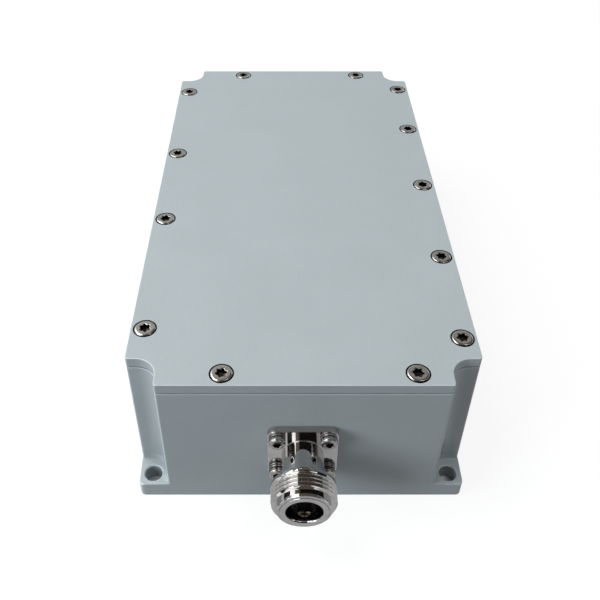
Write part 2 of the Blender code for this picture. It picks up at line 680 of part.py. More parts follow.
def make_tuning_screws(brass):
    """Slotted tuning screws that reach through the cover into the posts."""
    top = COVER_TOP + CLEARANCE + LOCK_NUT_HEIGHT + TUNING_SCREW_STAND - FLOOR_THICKNESS
    tip = POST_TOP - TUNING_SCREW_REACH - FLOOR_THICKNESS
    profile = [(0.0, top), (TUNING_SCREW_RADIUS, top), (TUNING_SCREW_RADIUS, tip), (0.0, tip)]
    screw = turned("tuning_screw", profile, HOLE_ROUND, PARTS)
    half = TUNING_SLOT_WIDTH / 2
    reach = TUNING_SCREW_RADIUS + OVERSHOOT
    low = (-reach, -half, top - TUNING_SLOT_DEPTH)
    high = (reach, half, top + OVERSHOOT)
    boolean(screw, box("tuning_slot", low, high, CUTTERS))
    settle(screw, brass)
    places = post_places()
    repeat(screw, ["tuning_screw_%d" % number for number in range(1, len(places) + 1)], places)


def make_lock_nuts(brass):
    """Thin hexagon nuts that lock the tuning screws on the cover."""
    corner = LOCK_NUT_FLATS / 2 / math.cos(math.radians(30))
    bm = bmesh.new()
    bmesh.ops.create_cone(bm, cap_ends=True, segments=6, radius1=corner, radius2=corner,
                          depth=LOCK_NUT_HEIGHT)
    nut = bmesh_object("lock_nut", bm, PARTS)
    boolean(nut, drills("lock_nut_hole", [at(0, 0, 0)], TUNING_SCREW_RADIUS + CLEARANCE,
                        LOCK_NUT_HEIGHT, -LOCK_NUT_HEIGHT))
    settle(nut, brass)
    height = COVER_TOP + CLEARANCE + LOCK_NUT_HEIGHT / 2 - FLOOR_THICKNESS
    places = [place @ at(0, 0, height) for place in post_places()]
    repeat(nut, ["lock_nut_%d" % number for number in range(1, len(places) + 1)], places)


def make_tap_wire(name, frame, post, copper):
    """A wire from the contact's tail to the side of the nearest end post."""
    start = frame @ Vector((0.0, 0.0, CONTACT_END - CLEARANCE))
    inward = -(frame.to_3x3() @ Vector((0.0, 0.0, 1.0)))
    axis = post.to_translation()
    axis.z = FLOOR_THICKNESS + TAP_HEIGHT
    towards = start - axis
    towards.z = 0.0
    towards.normalize()
    end = axis + towards * (POST_RADIUS + CLEARANCE)
    span = (end - start).length
    reach = span * TAP_WIRE_BEND
    bend = [start, start + inward * reach, end + towards * reach, end]
    curve = bpy.data.curves.new(name, "CURVE")
    curve.dimensions = "3D"
    curve.bevel_depth = TAP_WIRE_RADIUS
    curve.bevel_resolution = 1
    curve.use_fill_caps = True
    spline = curve.splines.new("POLY")
    spline.points.add(WIRE_POINTS - 1)
    for index, point in enumerate(spline.points):
        t = index / (WIRE_POINTS - 1)
        weights = ((1 - t) ** 3, 3 * t * (1 - t) ** 2, 3 * t * t * (1 - t), t ** 3)
        place = sum((weight * corner for weight, corner in zip(weights, bend)), Vector((0.0, 0.0, 0.0)))
        point.co = (*place, 1.0)
    route = bpy.data.objects.new(name + "_route", curve)
    bpy.context.scene.collection.objects.link(route)
    wire = link(bpy.data.objects.new(name, mesh_of(route)), PARTS)
    bpy.data.objects.remove(route)
    settle(wire, copper)


def main():
    start_scene()
    paint = make_material("grey_paint", (0.47, 0.52, 0.54), 0.55, 0.0)
    steel = make_material("stainless_steel", (0.55, 0.54, 0.52), 0.3, 1.0)
    plating = make_material("bright_nickel", (0.68, 0.66, 0.63), 0.12, 1.0)
    silver = make_material("silver_plating", (0.82, 0.81, 0.78), 0.25, 1.0)
    gold = make_material("gold_plating", (0.85, 0.62, 0.28), 0.25, 1.0)
    plastic = make_material("white_insulator", (0.85, 0.85, 0.83), 0.5, 0.0)
    brass = make_material("brass", (0.72, 0.56, 0.30), 0.3, 1.0)
    copper = make_material("silvered_wire", (0.80, 0.76, 0.72), 0.3, 1.0)

    notches = notch_cutter()
    make_housing(paint, notches)
    make_resonators(silver)
    posts = post_places()
    frames = port_frames()
    for name, frame in frames.items():
        empty = make_port_frame(name, frame)
        make_shell(name, empty, plating)
        make_insulator(name, empty, plastic)
        make_contact(name, empty, gold)
        make_washers(name, empty, steel)
        make_flange_screws(name, empty, steel)
    make_tap_wire("input_tap_wire", frames["front"], posts[0], copper)
    make_tap_wire("output_tap_wire", frames["rear"], posts[-1], copper)
    make_tuning_cover(silver)
    make_tuning_screws(brass)
    make_lock_nuts(brass)
    make_lid(paint, notches)
    make_lid_screws(steel)


main()
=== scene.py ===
"""Looks of a cavity bandpass filter: painted milled housing, screwed lid and a coaxial port at each end.

Lengths are in metres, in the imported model's own frame: +Y to the rear port, +Z up.
"""

import math

import bmesh
import bpy
from mathutils import Matrix, Vector


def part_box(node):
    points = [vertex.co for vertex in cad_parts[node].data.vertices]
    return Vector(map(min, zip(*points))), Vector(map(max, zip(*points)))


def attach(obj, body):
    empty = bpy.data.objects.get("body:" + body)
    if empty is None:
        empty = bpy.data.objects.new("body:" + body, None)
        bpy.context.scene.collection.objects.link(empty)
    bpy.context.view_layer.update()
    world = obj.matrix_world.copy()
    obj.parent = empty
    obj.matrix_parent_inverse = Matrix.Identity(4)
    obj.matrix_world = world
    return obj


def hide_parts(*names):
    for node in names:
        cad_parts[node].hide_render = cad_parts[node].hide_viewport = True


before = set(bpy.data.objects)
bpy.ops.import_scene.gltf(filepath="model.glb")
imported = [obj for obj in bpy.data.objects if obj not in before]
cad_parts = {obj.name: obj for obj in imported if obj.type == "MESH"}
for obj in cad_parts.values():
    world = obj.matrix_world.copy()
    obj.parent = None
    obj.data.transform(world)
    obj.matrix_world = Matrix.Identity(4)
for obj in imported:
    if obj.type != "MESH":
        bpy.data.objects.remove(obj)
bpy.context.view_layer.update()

# Camera. A hand-held view from just in front of the filter and above it, close enough for the
# sides to draw together towards the back. The small shift is the picture's own framing.
FRAME_PIXELS = 600
FOCAL_PIXELS = 752.7
OPTICAL_AXIS = (276.9, 250.0)
SENSOR_WIDTH = 36
NEAREST_SIGHT = 0.01
CAMERA_PLACE = (-0.00639, -0.19409, 0.17983)
CAMERA_PITCH = math.radians(39.562)

lens = bpy.data.cameras.new("camera")
lens.sensor_width = SENSOR_WIDTH
lens.lens = FOCAL_PIXELS / FRAME_PIXELS * SENSOR_WIDTH
lens.shift_x = 0.5 - OPTICAL_AXIS[0] / FRAME_PIXELS
lens.shift_y = OPTICAL_AXIS[1] / FRAME_PIXELS - 0.5
lens.clip_start = NEAREST_SIGHT
camera = bpy.data.objects.new("camera", lens)
camera.location = CAMERA_PLACE
camera.rotation_euler = (math.pi / 2 - CAMERA_PITCH, 0, 0)
bpy.context.scene.collection.objects.link(camera)
bpy.context.scene.camera = camera
bpy.context.scene.view_settings.view_transform = "Standard"

# Studio. One soft box stands high at the left, a second lower at the left front and a small third
# high at the right, in a dim room over a white ground. Dark, grey and white cards stand and lie
# round the filter, and show only in what it mirrors.
ROOM_COLOUR = (0.92, 0.965, 1.0)
ROOM_LIGHT = 0.205
LAMP_TARGET = (0, 0, 0.03)
KEY_PLACE = (-0.42, 0.10, 0.78)
KEY_SIZE = (0.60, 0.60)
KEY_POWER = 4.4
KEY_COLOUR = (1.0, 0.99, 0.97)
SIDE_PLACE = (-0.80, -0.46, 0.42)
SIDE_SIZE = (0.50, 0.40)
SIDE_POWER = 5.2
SIDE_COLOUR = (0.88, 0.95, 1.0)
TOP_PLACE = (0.34, -0.25, 0.82)
TOP_SIZE = (0.30, 0.30)
TOP_POWER = 1.3
TOP_COLOUR = (1.0, 0.99, 0.97)
FLOOR_SIZE = 6.0
FLOOR_GLOW = 0.86
FLOOR_SHADE = 0.20
FLOOR_BOUNCE = 0.14


def add_node(tree, kind, inputs=None, **settings):
    """A shader node with its settings and its unlinked inputs."""
    node = tree.nodes.new(kind)
    for name, value in settings.items():
        setattr(node, name, value)
    for name, value in (inputs or {}).items():
        node.inputs[name].default_value = value
    return node


def seen_or_mirrored(tree):
    """1 for what the camera, a gloss or a glass sees directly, and 0 for light on matt surfaces."""
    path = add_node(tree, "ShaderNodeLightPath")
    first = add_node(tree, "ShaderNodeMath", operation="MAXIMUM")
    both = add_node(tree, "ShaderNodeMath", operation="MAXIMUM")
    tree.links.new(path.outputs["Is Camera Ray"], first.inputs[0])
    tree.links.new(path.outputs["Is Glossy Ray"], first.inputs[1])
    tree.links.new(first.outputs[0], both.inputs[0])
    tree.links.new(path.outputs["Is Transmission Ray"], both.inputs[1])
    return both.outputs[0]


def aim(thing, target):
    """Turn a lamp or a panel to face a point."""
    thing.rotation_euler = (thing.location - Vector(target)).to_track_quat("Z", "Y").to_euler()


def sheet(name, bm, paper):
    """A flat sheet of one paper, linked to the scene."""
    mesh = bpy.data.meshes.new(name)
    bm.to_mesh(mesh)
    bm.free()
    mesh.materials.append(paper)
    flat = bpy.data.objects.new(name, mesh)
    bpy.context.scene.collection.objects.link(flat)
    return flat


world = bpy.data.worlds.new("studio")
world.use_nodes = True
bpy.context.scene.world = world
tree = world.node_tree
tree.nodes.clear()
dim = add_node(tree, "ShaderNodeBackground", {"Color": (*ROOM_COLOUR, 1.0), "Strength": ROOM_LIGHT})
white = add_node(tree, "ShaderNodeBackground", {"Color": (1.0, 1.0, 1.0, 1.0), "Strength": 1.0})
mix = add_node(tree, "ShaderNodeMixShader")
end = add_node(tree, "ShaderNodeOutputWorld")
tree.links.new(seen_or_mirrored(tree), mix.inputs["Fac"])
tree.links.new(dim.outputs[0], mix.inputs[1])
tree.links.new(white.outputs[0], mix.inputs[2])
tree.links.new(mix.outputs[0], end.inputs["Surface"])

for name, place, (width, height), power, colour in (
        ("key_lamp", KEY_PLACE, KEY_SIZE, KEY_POWER, KEY_COLOUR),
        ("side_lamp", SIDE_PLACE, SIDE_SIZE, SIDE_POWER, SIDE_COLOUR),
        ("top_lamp", TOP_PLACE, TOP_SIZE, TOP_POWER, TOP_COLOUR)):
    lamp = bpy.data.lights.new(name, "AREA")
    lamp.shape = "RECTANGLE"
    lamp.size = width
    lamp.size_y = height
    lamp.energy = power
    lamp.color = colour
    holder = bpy.data.objects.new(name, lamp)
    holder.location = place
    holder.visible_camera = False
    aim(holder, LAMP_TARGET)
    bpy.context.scene.collection.objects.link(holder)

floor_paper = bpy.data.materials.new("floor_paper")
floor_paper.use_nodes = True
tree = floor_paper.node_tree
tree.nodes.clear()
bounce = add_node(tree, "ShaderNodeBsdfDiffuse", {"Color": (FLOOR_BOUNCE,) * 3 + (1.0,)})
shade = add_node(tree, "ShaderNodeBsdfDiffuse", {"Color": (FLOOR_SHADE,) * 3 + (1.0,)})
glow = add_node(tree, "ShaderNodeEmission", {"Color": (1.0, 1.0, 1.0, 1.0), "Strength": FLOOR_GLOW})
both = add_node(tree, "ShaderNodeAddShader")
mix = add_node(tree, "ShaderNodeMixShader")
end = add_node(tree, "ShaderNodeOutputMaterial")
tree.links.new(glow.outputs[0], both.inputs[0])
tree.links.new(shade.outputs[0], both.inputs[1])
tree.links.new(seen_or_mirrored(tree), mix.inputs["Fac"])
tree.links.new(bounce.outputs[0], mix.inputs[1])
tree.links.new(both.outputs[0], mix.inputs[2])
tree.links.new(mix.outputs[0], end.inputs["Surface"])

bm = bmesh.new()
bmesh.ops.create_grid(bm, x_segments=1, y_segments=1, size=FLOOR_SIZE / 2)
floor = sheet("floor", bm, floor_paper)

CARD_REACH = 0.50
CARD_LIFT = 0.0004
STRIP_END = 125
FRONT = (-0.60, -0.12)
FRONT_SHORT = (-0.60, -0.20)
MIDDLE = (-0.12, 0.08)
REAR = (0.08, 0.27)
BESIDE = (-0.12, 0.27)
PORT_HEIGHT = (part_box("front_port_shell")[0].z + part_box("front_port_shell")[1].z) / 2


def strip(first, last, span):
    """Corners of a card along the port's axis that fills the angles from first to last, 0 straight up."""
    near, far = span
    corners = []
    for degrees, y in ((first, near), (last, near), (last, far), (first, far)):
        angle = math.radians(degrees)
        corners.append((CARD_REACH * math.sin(angle), y, PORT_HEIGHT + CARD_REACH * math.cos(angle)))
    return corners


def upright(left, right, bottom, top, y):
    """Corners of an upright card across the port's axis."""
    return [(left, y, bottom), (right, y, bottom), (right, y, top), (left, y, top)]


def lying(left, right, near, far, height):
    """Corners of a card that lies on the floor or on another card."""
    return [(left, near, height), (right, near, height), (right, far, height), (left, far, height)]


def card(name, corners, colour, strength=1.0):
    """A card of one colour that shows only in mirror images."""
    paper = bpy.data.materials.new(name)
    paper.use_nodes = True
    paper.node_tree.nodes.clear()
    glow = add_node(paper.node_tree, "ShaderNodeEmission", {"Color": (*colour, 1.0), "Strength": strength})
    end = add_node(paper.node_tree, "ShaderNodeOutputMaterial")
    paper.node_tree.links.new(glow.outputs[0], end.inputs["Surface"])
    bm = bmesh.new()
    bm.faces.new([bm.verts.new(corner) for corner in corners])
    panel = sheet(name, bm, paper)
    panel.visible_camera = False
    panel.visible_diffuse = False
    panel.visible_shadow = False


BLACK = (0.012, 0.010, 0.009)
BROWN = (0.115, 0.094, 0.078)
TAN = (0.26, 0.22, 0.17)
GREY = (0.56, 0.56, 0.57)
SHADED_GREY = (0.47, 0.47, 0.485)
DIM_GREY = (0.42, 0.43, 0.45)
WHITE = (1.0, 1.0, 1.0)
card("front_grey_left", strip(-STRIP_END, -92, FRONT), GREY)
card("front_black_left", strip(-92, -59, FRONT_SHORT), BLACK)
card("front_white", strip(-58, -39, FRONT_SHORT), WHITE, strength=3.0)
card("front_brown", strip(-38, -19, FRONT_SHORT), TAN)
card("front_black_top", strip(-19, 88, FRONT), BLACK)
card("front_grey_right", strip(88, STRIP_END, FRONT), GREY)
card("middle_brown_top", strip(-20, 68, MIDDLE), BROWN)
card("rear_grey_left", strip(-STRIP_END, -88, BESIDE), GREY)
card("rear_black_left", strip(-88, -74, REAR), BLACK)
card("rear_white", strip(-74, -22, REAR), WHITE, strength=2.1)
card("rear_brown_top", strip(-22, 68, REAR), BROWN)
card("rear_grey_right", strip(68, STRIP_END, BESIDE), GREY)
card("grey_floor", lying(-0.60, 0.60, -0.90, -0.085, CARD_LIFT), GREY)
card("grey_floor_right", lying(0.002, 0.60, -0.103, -0.085, 2 * CARD_LIFT), SHADED_GREY)
card("white_floor_left", lying(-0.30, -0.075, -0.30, -0.12, 2 * CARD_LIFT), WHITE, strength=1.3)
card("dark_front", upright(-0.07, 0.23, 0.0, 0.26, -0.45), BROWN)
card("white_front", upright(-0.22, -0.08, 0.0, 0.20, -0.38), WHITE, strength=1.6)
card("white_front_right", upright(0.10, 0.22, 0.0, 0.20, -0.38), WHITE, strength=1.2)
card("back_grey", upright(-0.70, 0.70, 0.20, 1.05, 0.95), DIM_GREY)

# Ground under the filter. The sheet of pale paper that the filter stands on, in the filter's own
# shadow. It shows only through the ears' holes.
GROUND_COLOUR = (0.85, 0.86, 0.85)
GROUND_INSET = 0.001
GROUND_LIFT = 0.00005

unlit_ground = bpy.data.materials.new("unlit_ground")
unlit_ground.use_nodes = True
paper_shader = unlit_ground.node_tree.nodes["Principled BSDF"]
paper_shader.inputs["Base Color"].default_value = (*GROUND_COLOUR, 1.0)
bm = bmesh.new()
bmesh.ops.create_grid(bm, x_segments=1, y_segments=1, size=0.5)
low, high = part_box("housing")
bmesh.ops.scale(bm, vec=(high.x - low.x - GROUND_INSET, high.y - low.y - GROUND_INSET, 1), verts=bm.verts)
bmesh.ops.translate(bm, vec=(0, 0, GROUND_LIFT), verts=bm.verts)
ground = sheet("unlit_ground", bm, unlit_ground)

# Housing. One block of aluminium, milled out from above, with a drilled ear left at each corner.
# It is sprayed with light grey paint that dries to a fine, even stipple.
PAINT_COLOUR = (0.462, 0.515, 0.533)
EDGE_HIGHLIGHT_COLOUR = (0.64, 0.69, 0.71)
HOLE_SHADE_COLOUR = (0.33, 0.37, 0.38)
PAINT_SHEEN = (0.42, 0.51)
STIPPLE_SIZE = 0.00035
STIPPLE_DEPTH = 0.000012
STIPPLE_TONES = (0.97, 1.03)
STIPPLE_SHARE = 0.6
PEEL_SHARE = 0.25
CLOUD_SCALE = 45.0
CLOUD_TONES = (0.975, 1.02)
CREASE_ANGLE = math.radians(35)
FLAT_ANGLE = math.radians(0.2)
SHARP_ANGLE = 1.0
UPRIGHT_SLOPE = 0.1
LEVEL_SLOPE = 0.9
CORNER_SLOPE = 0.5
WELD = 0.000001
ROUND_STEPS = 64
CORNER_RADIUS = 0.0007
EAR_THICKNESS = 0.0050
FOOT_TOP = 0.0100
EAR_HOLE_INSET = 0.0036
EAR_HOLE_RADIUS = 0.0023
EAR_HOLE_CHAMFER = 0.00028
DRILL_STEP = 0.0005
DRILL_MARK = 0.00004
HOLE_ZONE = 0.0032
RIM_SLOPES = (0.3, 0.95)
FOOT_RIM_SLOPES = (0.85, 0.97)
TOP_BREAK = 0.00013
BASE_BREAK = 0.00025
LID_SCREW_COUNT = 13
FIRST_COLOUR = 6
SECOND_COLOUR = 7
MIXED_COLOUR = 2
ON_EDGE_HIGHLIGHTS = 1
IN_HOLES = 2


def new_material(name, inputs):
    """A Principled material, returned with its node tree and its shader."""
    material = bpy.data.materials.new(name)
    material.use_nodes = True
    shader = material.node_tree.nodes["Principled BSDF"]
    for key, value in inputs.items():
        shader.inputs[key].default_value = value
    return material, material.node_tree, shader


def noise(tree, scale, detail, roughness=0.5):
    """A noise that follows the piece's own coordinates."""
    place = add_node(tree, "ShaderNodeTexCoord")
    field = add_node(tree, "ShaderNodeTexNoise", {"Scale": scale, "Detail": detail, "Roughness": roughness})
    tree.links.new(place.outputs["Object"], field.inputs["Vector"])
    return field.outputs["Fac"]


def spread(tree, field, low, high):
    """The middle of a noise's range, spread from a low to a high value."""
    values = add_node(tree, "ShaderNodeMapRange",
                      {"From Min": 0.3, "From Max": 0.7, "To Min": low, "To Max": high})
    tree.links.new(field, values.inputs["Value"])
    return values.outputs[0]


def painted(name, paint_colour):
    """Grey paint: slow drifts of tone, a fine stipple and a slightly uneven sheen."""
    material, tree, shader = new_material(name, {"Metallic": 0.0, "IOR": 1.45})
    cloud = noise(tree, CLOUD_SCALE, 4.0, 0.6)
    stipple = noise(tree, 1 / STIPPLE_SIZE, 2.0)
    peel = noise(tree, PEEL_SHARE / STIPPLE_SIZE, 1.0)
    shades = add_node(tree, "ShaderNodeMath", operation="MULTIPLY")
    colour = add_node(tree, "ShaderNodeMix", {"Factor": 1.0}, data_type="RGBA", blend_type="MULTIPLY")
    colour.inputs[FIRST_COLOUR].default_value = (*paint_colour, 1.0)
    relief = add_node(tree, "ShaderNodeMath", {1: STIPPLE_SHARE}, operation="MULTIPLY_ADD")
    bump = add_node(tree, "ShaderNodeBump", {"Strength": 1.0, "Distance": STIPPLE_DEPTH})
    tree.links.new(spread(tree, cloud, *CLOUD_TONES), shades.inputs[0])
    tree.links.new(spread(tree, stipple, *STIPPLE_TONES), shades.inputs[1])
    tree.links.new(shades.outputs[0], colour.inputs[SECOND_COLOUR])
    tree.links.new(colour.outputs[MIXED_COLOUR], shader.inputs["Base Color"])
    tree.links.new(spread(tree, cloud, *PAINT_SHEEN), shader.inputs["Roughness"])
    tree.links.new(stipple, relief.inputs[0])
    tree.links.new(peel, relief.inputs[2])
    tree.links.new(relief.outputs[0], bump.inputs["Height"])
    tree.links.new(bump.outputs["Normal"], shader.inputs["Normal"])
    return material


def finish_piece(name, bm, materials, nodes):
    """Weld, shade and link a piece that stands for CAD nodes and rides on the filter's one body."""
    flatten(bm)
    mesh = bpy.data.meshes.new(name)
    bm.to_mesh(mesh)
    bm.free()
    for material in materials:
        mesh.materials.append(material)
    mesh.shade_smooth()
    mesh.set_sharp_from_angle(angle=CREASE_ANGLE)
    piece = bpy.data.objects.new(name, mesh)
    bpy.context.scene.collection.objects.link(piece)
    weighted = piece.modifiers.new("Even shading", "WEIGHTED_NORMAL")
    weighted.keep_sharp = True
    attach(piece, "root")
    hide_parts(*nodes)
    return piece


def copy_of_node(node):
    """The CAD node's own form as a bmesh, its loose triangles still to be welded."""
    bm = bmesh.new()
    bm.from_mesh(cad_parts[node].data)
    return bm


def turn(profile, steps=ROUND_STEPS):
    """A profile of radius and height pairs spun about Z, with its poles welded."""
    bm = bmesh.new()
    points = [bm.verts.new((radius, 0.0, height)) for radius, height in profile]
    lines = [bm.edges.new(pair) for pair in zip(points, points[1:])]
    bmesh.ops.spin(bm, geom=points + lines, cent=(0, 0, 0), axis=(0, 0, 1), dvec=(0, 0, 0),
                   angle=math.tau, steps=steps, use_merge=True, use_duplicate=False)
    bmesh.ops.remove_doubles(bm, verts=bm.verts, dist=WELD)
    bmesh.ops.recalc_face_normals(bm, faces=bm.faces)
    return bm


def placed_copies(source, places):
    """One bmesh that holds a shape at each place, and the source freed."""
    shape = bpy.data.meshes.new("shape")
    source.to_mesh(shape)
    source.free()
    bm = bmesh.new()
    for place in places:
        before = len(bm.verts)
        bm.from_mesh(shape)
        bm.verts.ensure_lookup_table()
        bmesh.ops.transform(bm, matrix=place, verts=bm.verts[before:])
    bpy.data.meshes.remove(shape)
    return bm


def carve(bm, tool, operation="DIFFERENCE"):
    """Cut a tool out of a shape, or unite the two, and hand back the result as a bmesh."""
    objects = []
    for name, part in (("shape", bm), ("tool", tool)):
        mesh = bpy.data.meshes.new(name)
        part.to_mesh(mesh)
        part.free()
        obj = bpy.data.objects.new(name, mesh)
        bpy.context.scene.collection.objects.link(obj)
        objects.append(obj)
    cut = objects[0].modifiers.new("Cut", "BOOLEAN")
    cut.object = objects[1]
    cut.operation = operation
    cut.solver = "EXACT"
    bpy.context.view_layer.update()
    graph = bpy.context.evaluated_depsgraph_get()
    result = bmesh.new()
    result.from_mesh(objects[0].evaluated_get(graph).to_mesh())
    for obj in objects:
        mesh = obj.data
        bpy.data.objects.remove(obj)
        bpy.data.meshes.remove(mesh)
    return result


def mark_edges(bm, half_width, half_length, radius):
    """Give upward rims and the middle of rounded upright corners a lighter paint, a painted highlight along
    the edges.
    """
    for face in bm.faces:
        normal = face.normal
        middle = face.calc_center_median()
        least, most = FOOT_RIM_SLOPES if EAR_THICKNESS < middle.z < FOOT_TOP else RIM_SLOPES
        rim = least < normal.z < most
        at_corner = abs(middle.x) > half_width - radius or abs(middle.y) > half_length - radius
        upright_wall = abs(normal.z) < UPRIGHT_SLOPE and min(abs(normal.x), abs(normal.y)) > CORNER_SLOPE
        face.material_index = ON_EDGE_HIGHLIGHTS if rim or (upright_wall and at_corner) else 0


def flatten(bm):
    """Weld a faceted mesh and merge the triangles of each flat face."""
    bmesh.ops.remove_doubles(bm, verts=bm.verts, dist=WELD)
    bmesh.ops.recalc_face_normals(bm, faces=bm.faces)
    bmesh.ops.dissolve_limit(bm, angle_limit=FLAT_ANGLE, use_dissolve_boundaries=False, verts=bm.verts,
                             edges=bm.edges, delimit={"MATERIAL"})


def break_outline(bm, height, amount, holes):
    """Chamfer the block's outer outline where it meets a level face, and leave the holes alone."""
    outline = []
    for edge in bm.edges:
        off_level = any(abs(vertex.co.z - height) > WELD for vertex in edge.verts)
        if off_level or edge.calc_face_angle() < SHARP_ANGLE:
            continue
        wall = min(edge.link_faces, key=lambda face: abs(face.normal.z))
        middle = (edge.verts[0].co + edge.verts[1].co) / 2
        clear = min((middle - hole).xy.length for hole in holes) > HOLE_ZONE
        if clear and wall.normal.xy.dot(middle.xy) > 0:
            outline.append(edge)
    bmesh.ops.bevel(bm, geom=outline, offset=amount, offset_type="OFFSET", segments=1, profile=0.5,
                    affect="EDGES", material=-1)


low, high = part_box("housing")
ear_holes = [Vector((side * (high.x - EAR_HOLE_INSET), end * (high.y - EAR_HOLE_INSET), 0))
             for side in (-1, 1) for end in (-1, 1)]
tapped_holes = []
for number in range(1, LID_SCREW_COUNT + 1):
    head_low, head_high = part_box("lid_screw_%02d" % number)
    tapped_holes.append((head_low + head_high) / 2)
block = copy_of_node("housing")
flatten(block)
break_outline(block, high.z, TOP_BREAK, tapped_holes)
break_outline(block, low.z, BASE_BREAK, ear_holes)
wide = EAR_HOLE_RADIUS + EAR_HOLE_CHAMFER
profile = [(0, EAR_THICKNESS + wide), (2 * wide, EAR_THICKNESS + wide), (wide, EAR_THICKNESS),
           (EAR_HOLE_RADIUS, EAR_THICKNESS - EAR_HOLE_CHAMFER)]
marks = int((EAR_THICKNESS - EAR_HOLE_CHAMFER) / DRILL_STEP)
for mark in range(marks):
    height = EAR_THICKNESS - EAR_HOLE_CHAMFER - (mark + 0.5) * DRILL_STEP
    profile += [(EAR_HOLE_RADIUS + DRILL_MARK, height), (EAR_HOLE_RADIUS, height - DRILL_STEP / 2)]
profile += [(EAR_HOLE_RADIUS, -wide), (0, -wide)]
block = carve(block, placed_copies(turn(profile), [Matrix.Translation(hole) for hole in ear_holes]))
mark_edges(block, high.x, high.y, CORNER_RADIUS)
# The ear holes' walls take a darker grey: painted shade inside the holes.
for face in block.faces:
    reach = max(min((vertex.co - hole).xy.length for hole in ear_holes) for vertex in face.verts)
    if reach < EAR_HOLE_RADIUS + 2 * DRILL_MARK:
        face.material_index = IN_HOLES
grey_paint = painted("grey_paint", PAINT_COLOUR)
# A lighter copy of the grey paint for upward rims and rounded corners: a painted highlight along the edges.
painted_edge_highlight = painted("painted_edge_highlight", EDGE_HIGHLIGHT_COLOUR)
hole_shade_paint = painted("hole_shade_paint", HOLE_SHADE_COLOUR)
finish_piece("painted_housing", block, [grey_paint, painted_edge_highlight, hole_shade_paint], ["housing"])

# Resonators and tap wires. Silver-plated aluminium posts stand on the cavity floor, each on a stud,
# and a silver-plated wire is soldered from each port's contact to the first or last post.
METAL_GRAIN = 0.0006
STAIN_SCALE = 260.0
RESONATOR_COUNT = 6


def metal_skin():
    """The node group that varies a metal's tone, gloss and surface, for all the metals here."""
    group = bpy.data.node_groups.new("metal_skin", "ShaderNodeTree")
    face = group.interface
    for name, direction, kind in (("Clean", "INPUT", "Color"), ("Dull", "INPUT", "Color"),
                                  ("Roughness", "INPUT", "Float"), ("Unevenness", "INPUT", "Float"),
                                  ("Colour", "OUTPUT", "Color"), ("Gloss", "OUTPUT", "Float"),
                                  ("Height", "OUTPUT", "Float")):
        face.new_socket(name, in_out=direction, socket_type="NodeSocket" + kind)
    start = add_node(group, "NodeGroupInput")
    end = add_node(group, "NodeGroupOutput")
    stain = noise(group, STAIN_SCALE, 5.0, 0.65)
    grain = noise(group, 1 / METAL_GRAIN, 3.0, 0.6)
    amount = add_node(group, "ShaderNodeMapRange", {"From Min": 0.45, "From Max": 0.75})
    tone = add_node(group, "ShaderNodeMix", data_type="RGBA")
    swing = add_node(group, "ShaderNodeMath", {1: 0.5}, operation="SUBTRACT")
    gloss = add_node(group, "ShaderNodeMath", operation="MULTIPLY_ADD")
    group.links.new(stain, amount.inputs["Value"])
    group.links.new(amount.outputs[0], tone.inputs["Factor"])
    group.links.new(start.outputs["Clean"], tone.inputs[FIRST_COLOUR])
    group.links.new(start.outputs["Dull"], tone.inputs[SECOND_COLOUR])
    group.links.new(tone.outputs[MIXED_COLOUR], end.inputs["Colour"])
    group.links.new(stain, swing.inputs[0])
    group.links.new(swing.outputs[0], gloss.inputs[0])
    group.links.new(start.outputs["Unevenness"], gloss.inputs[1])
    group.links.new(start.outputs["Roughness"], gloss.inputs[2])
    group.links.new(gloss.outputs[0], end.inputs["Gloss"])
    group.links.new(grain, end.inputs["Height"])
    return group


METAL_SKIN = metal_skin()


def metal(name, clean, dull, roughness, unevenness, relief, metallic=1.0):
    """A metal whose tone, gloss and fine relief come from the shared metal skin."""
    material, tree, shader = new_material(name, {"Metallic": metallic})
    skin = add_node(tree, "ShaderNodeGroup", node_tree=METAL_SKIN)
    skin.inputs["Clean"].default_value = (*clean, 1.0)
    skin.inputs["Dull"].default_value = (*dull, 1.0)
    skin.inputs["Roughness"].default_value = roughness
    skin.inputs["Unevenness"].default_value = unevenness
    bump = add_node(tree, "ShaderNodeBump", {"Strength": 1.0, "Distance": relief})
    tree.links.new(skin.outputs["Colour"], shader.inputs["Base Color"])
    tree.links.new(skin.outputs["Gloss"], shader.inputs["Roughness"])
    tree.links.new(skin.outputs["Height"], bump.inputs["Height"])
    tree.links.new(bump.outputs["Normal"], shader.inputs["Normal"])
    return material


silver_plate = metal("silver_plate", clean=(0.83, 0.82, 0.79), dull=(0.62, 0.58, 0.50),
                     roughness=0.26, unevenness=0.25, relief=0.000004)
silvered_copper = metal("silvered_copper", clean=(0.80, 0.77, 0.73), dull=(0.60, 0.50, 0.42),
                        roughness=0.30, unevenness=0.25, relief=0.000004)
for number in range(1, RESONATOR_COUNT + 1):
    node = "resonator_%d" % number
    finish_piece("silvered_post_%d" % number, copy_of_node(node), [silver_plate], [node])
for node in ("input_tap_wire", "output_tap_wire"):
    finish_piece("silvered_" + node, copy_of_node(node), [silvered_copper], [node])

# Tuning cover. A silver-plated plate screwed to the ledge, with a brass tuning screw over each post
# and a thin brass nut that locks it.
bare_brass = metal("bare_brass", clean=(0.74, 0.56, 0.28), dull=(0.48, 0.33, 0.16),
                   roughness=0.28, unevenness=0.25, relief=0.000004)
finish_piece("silvered_cover", copy_of_node("tuning_cover"), [silver_plate],
             ["tuning_cover"])
for number in range(1, RESONATOR_COUNT + 1):
    node = "tuning_screw_%d" % number
    finish_piece("brass_tuning_screw_%d" % number, copy_of_node(node), [bare_brass], [node])
    node = "lock_nut_%d" % number
    finish_piece("brass_lock_nut_%d" % number, copy_of_node(node), [bare_brass], [node])

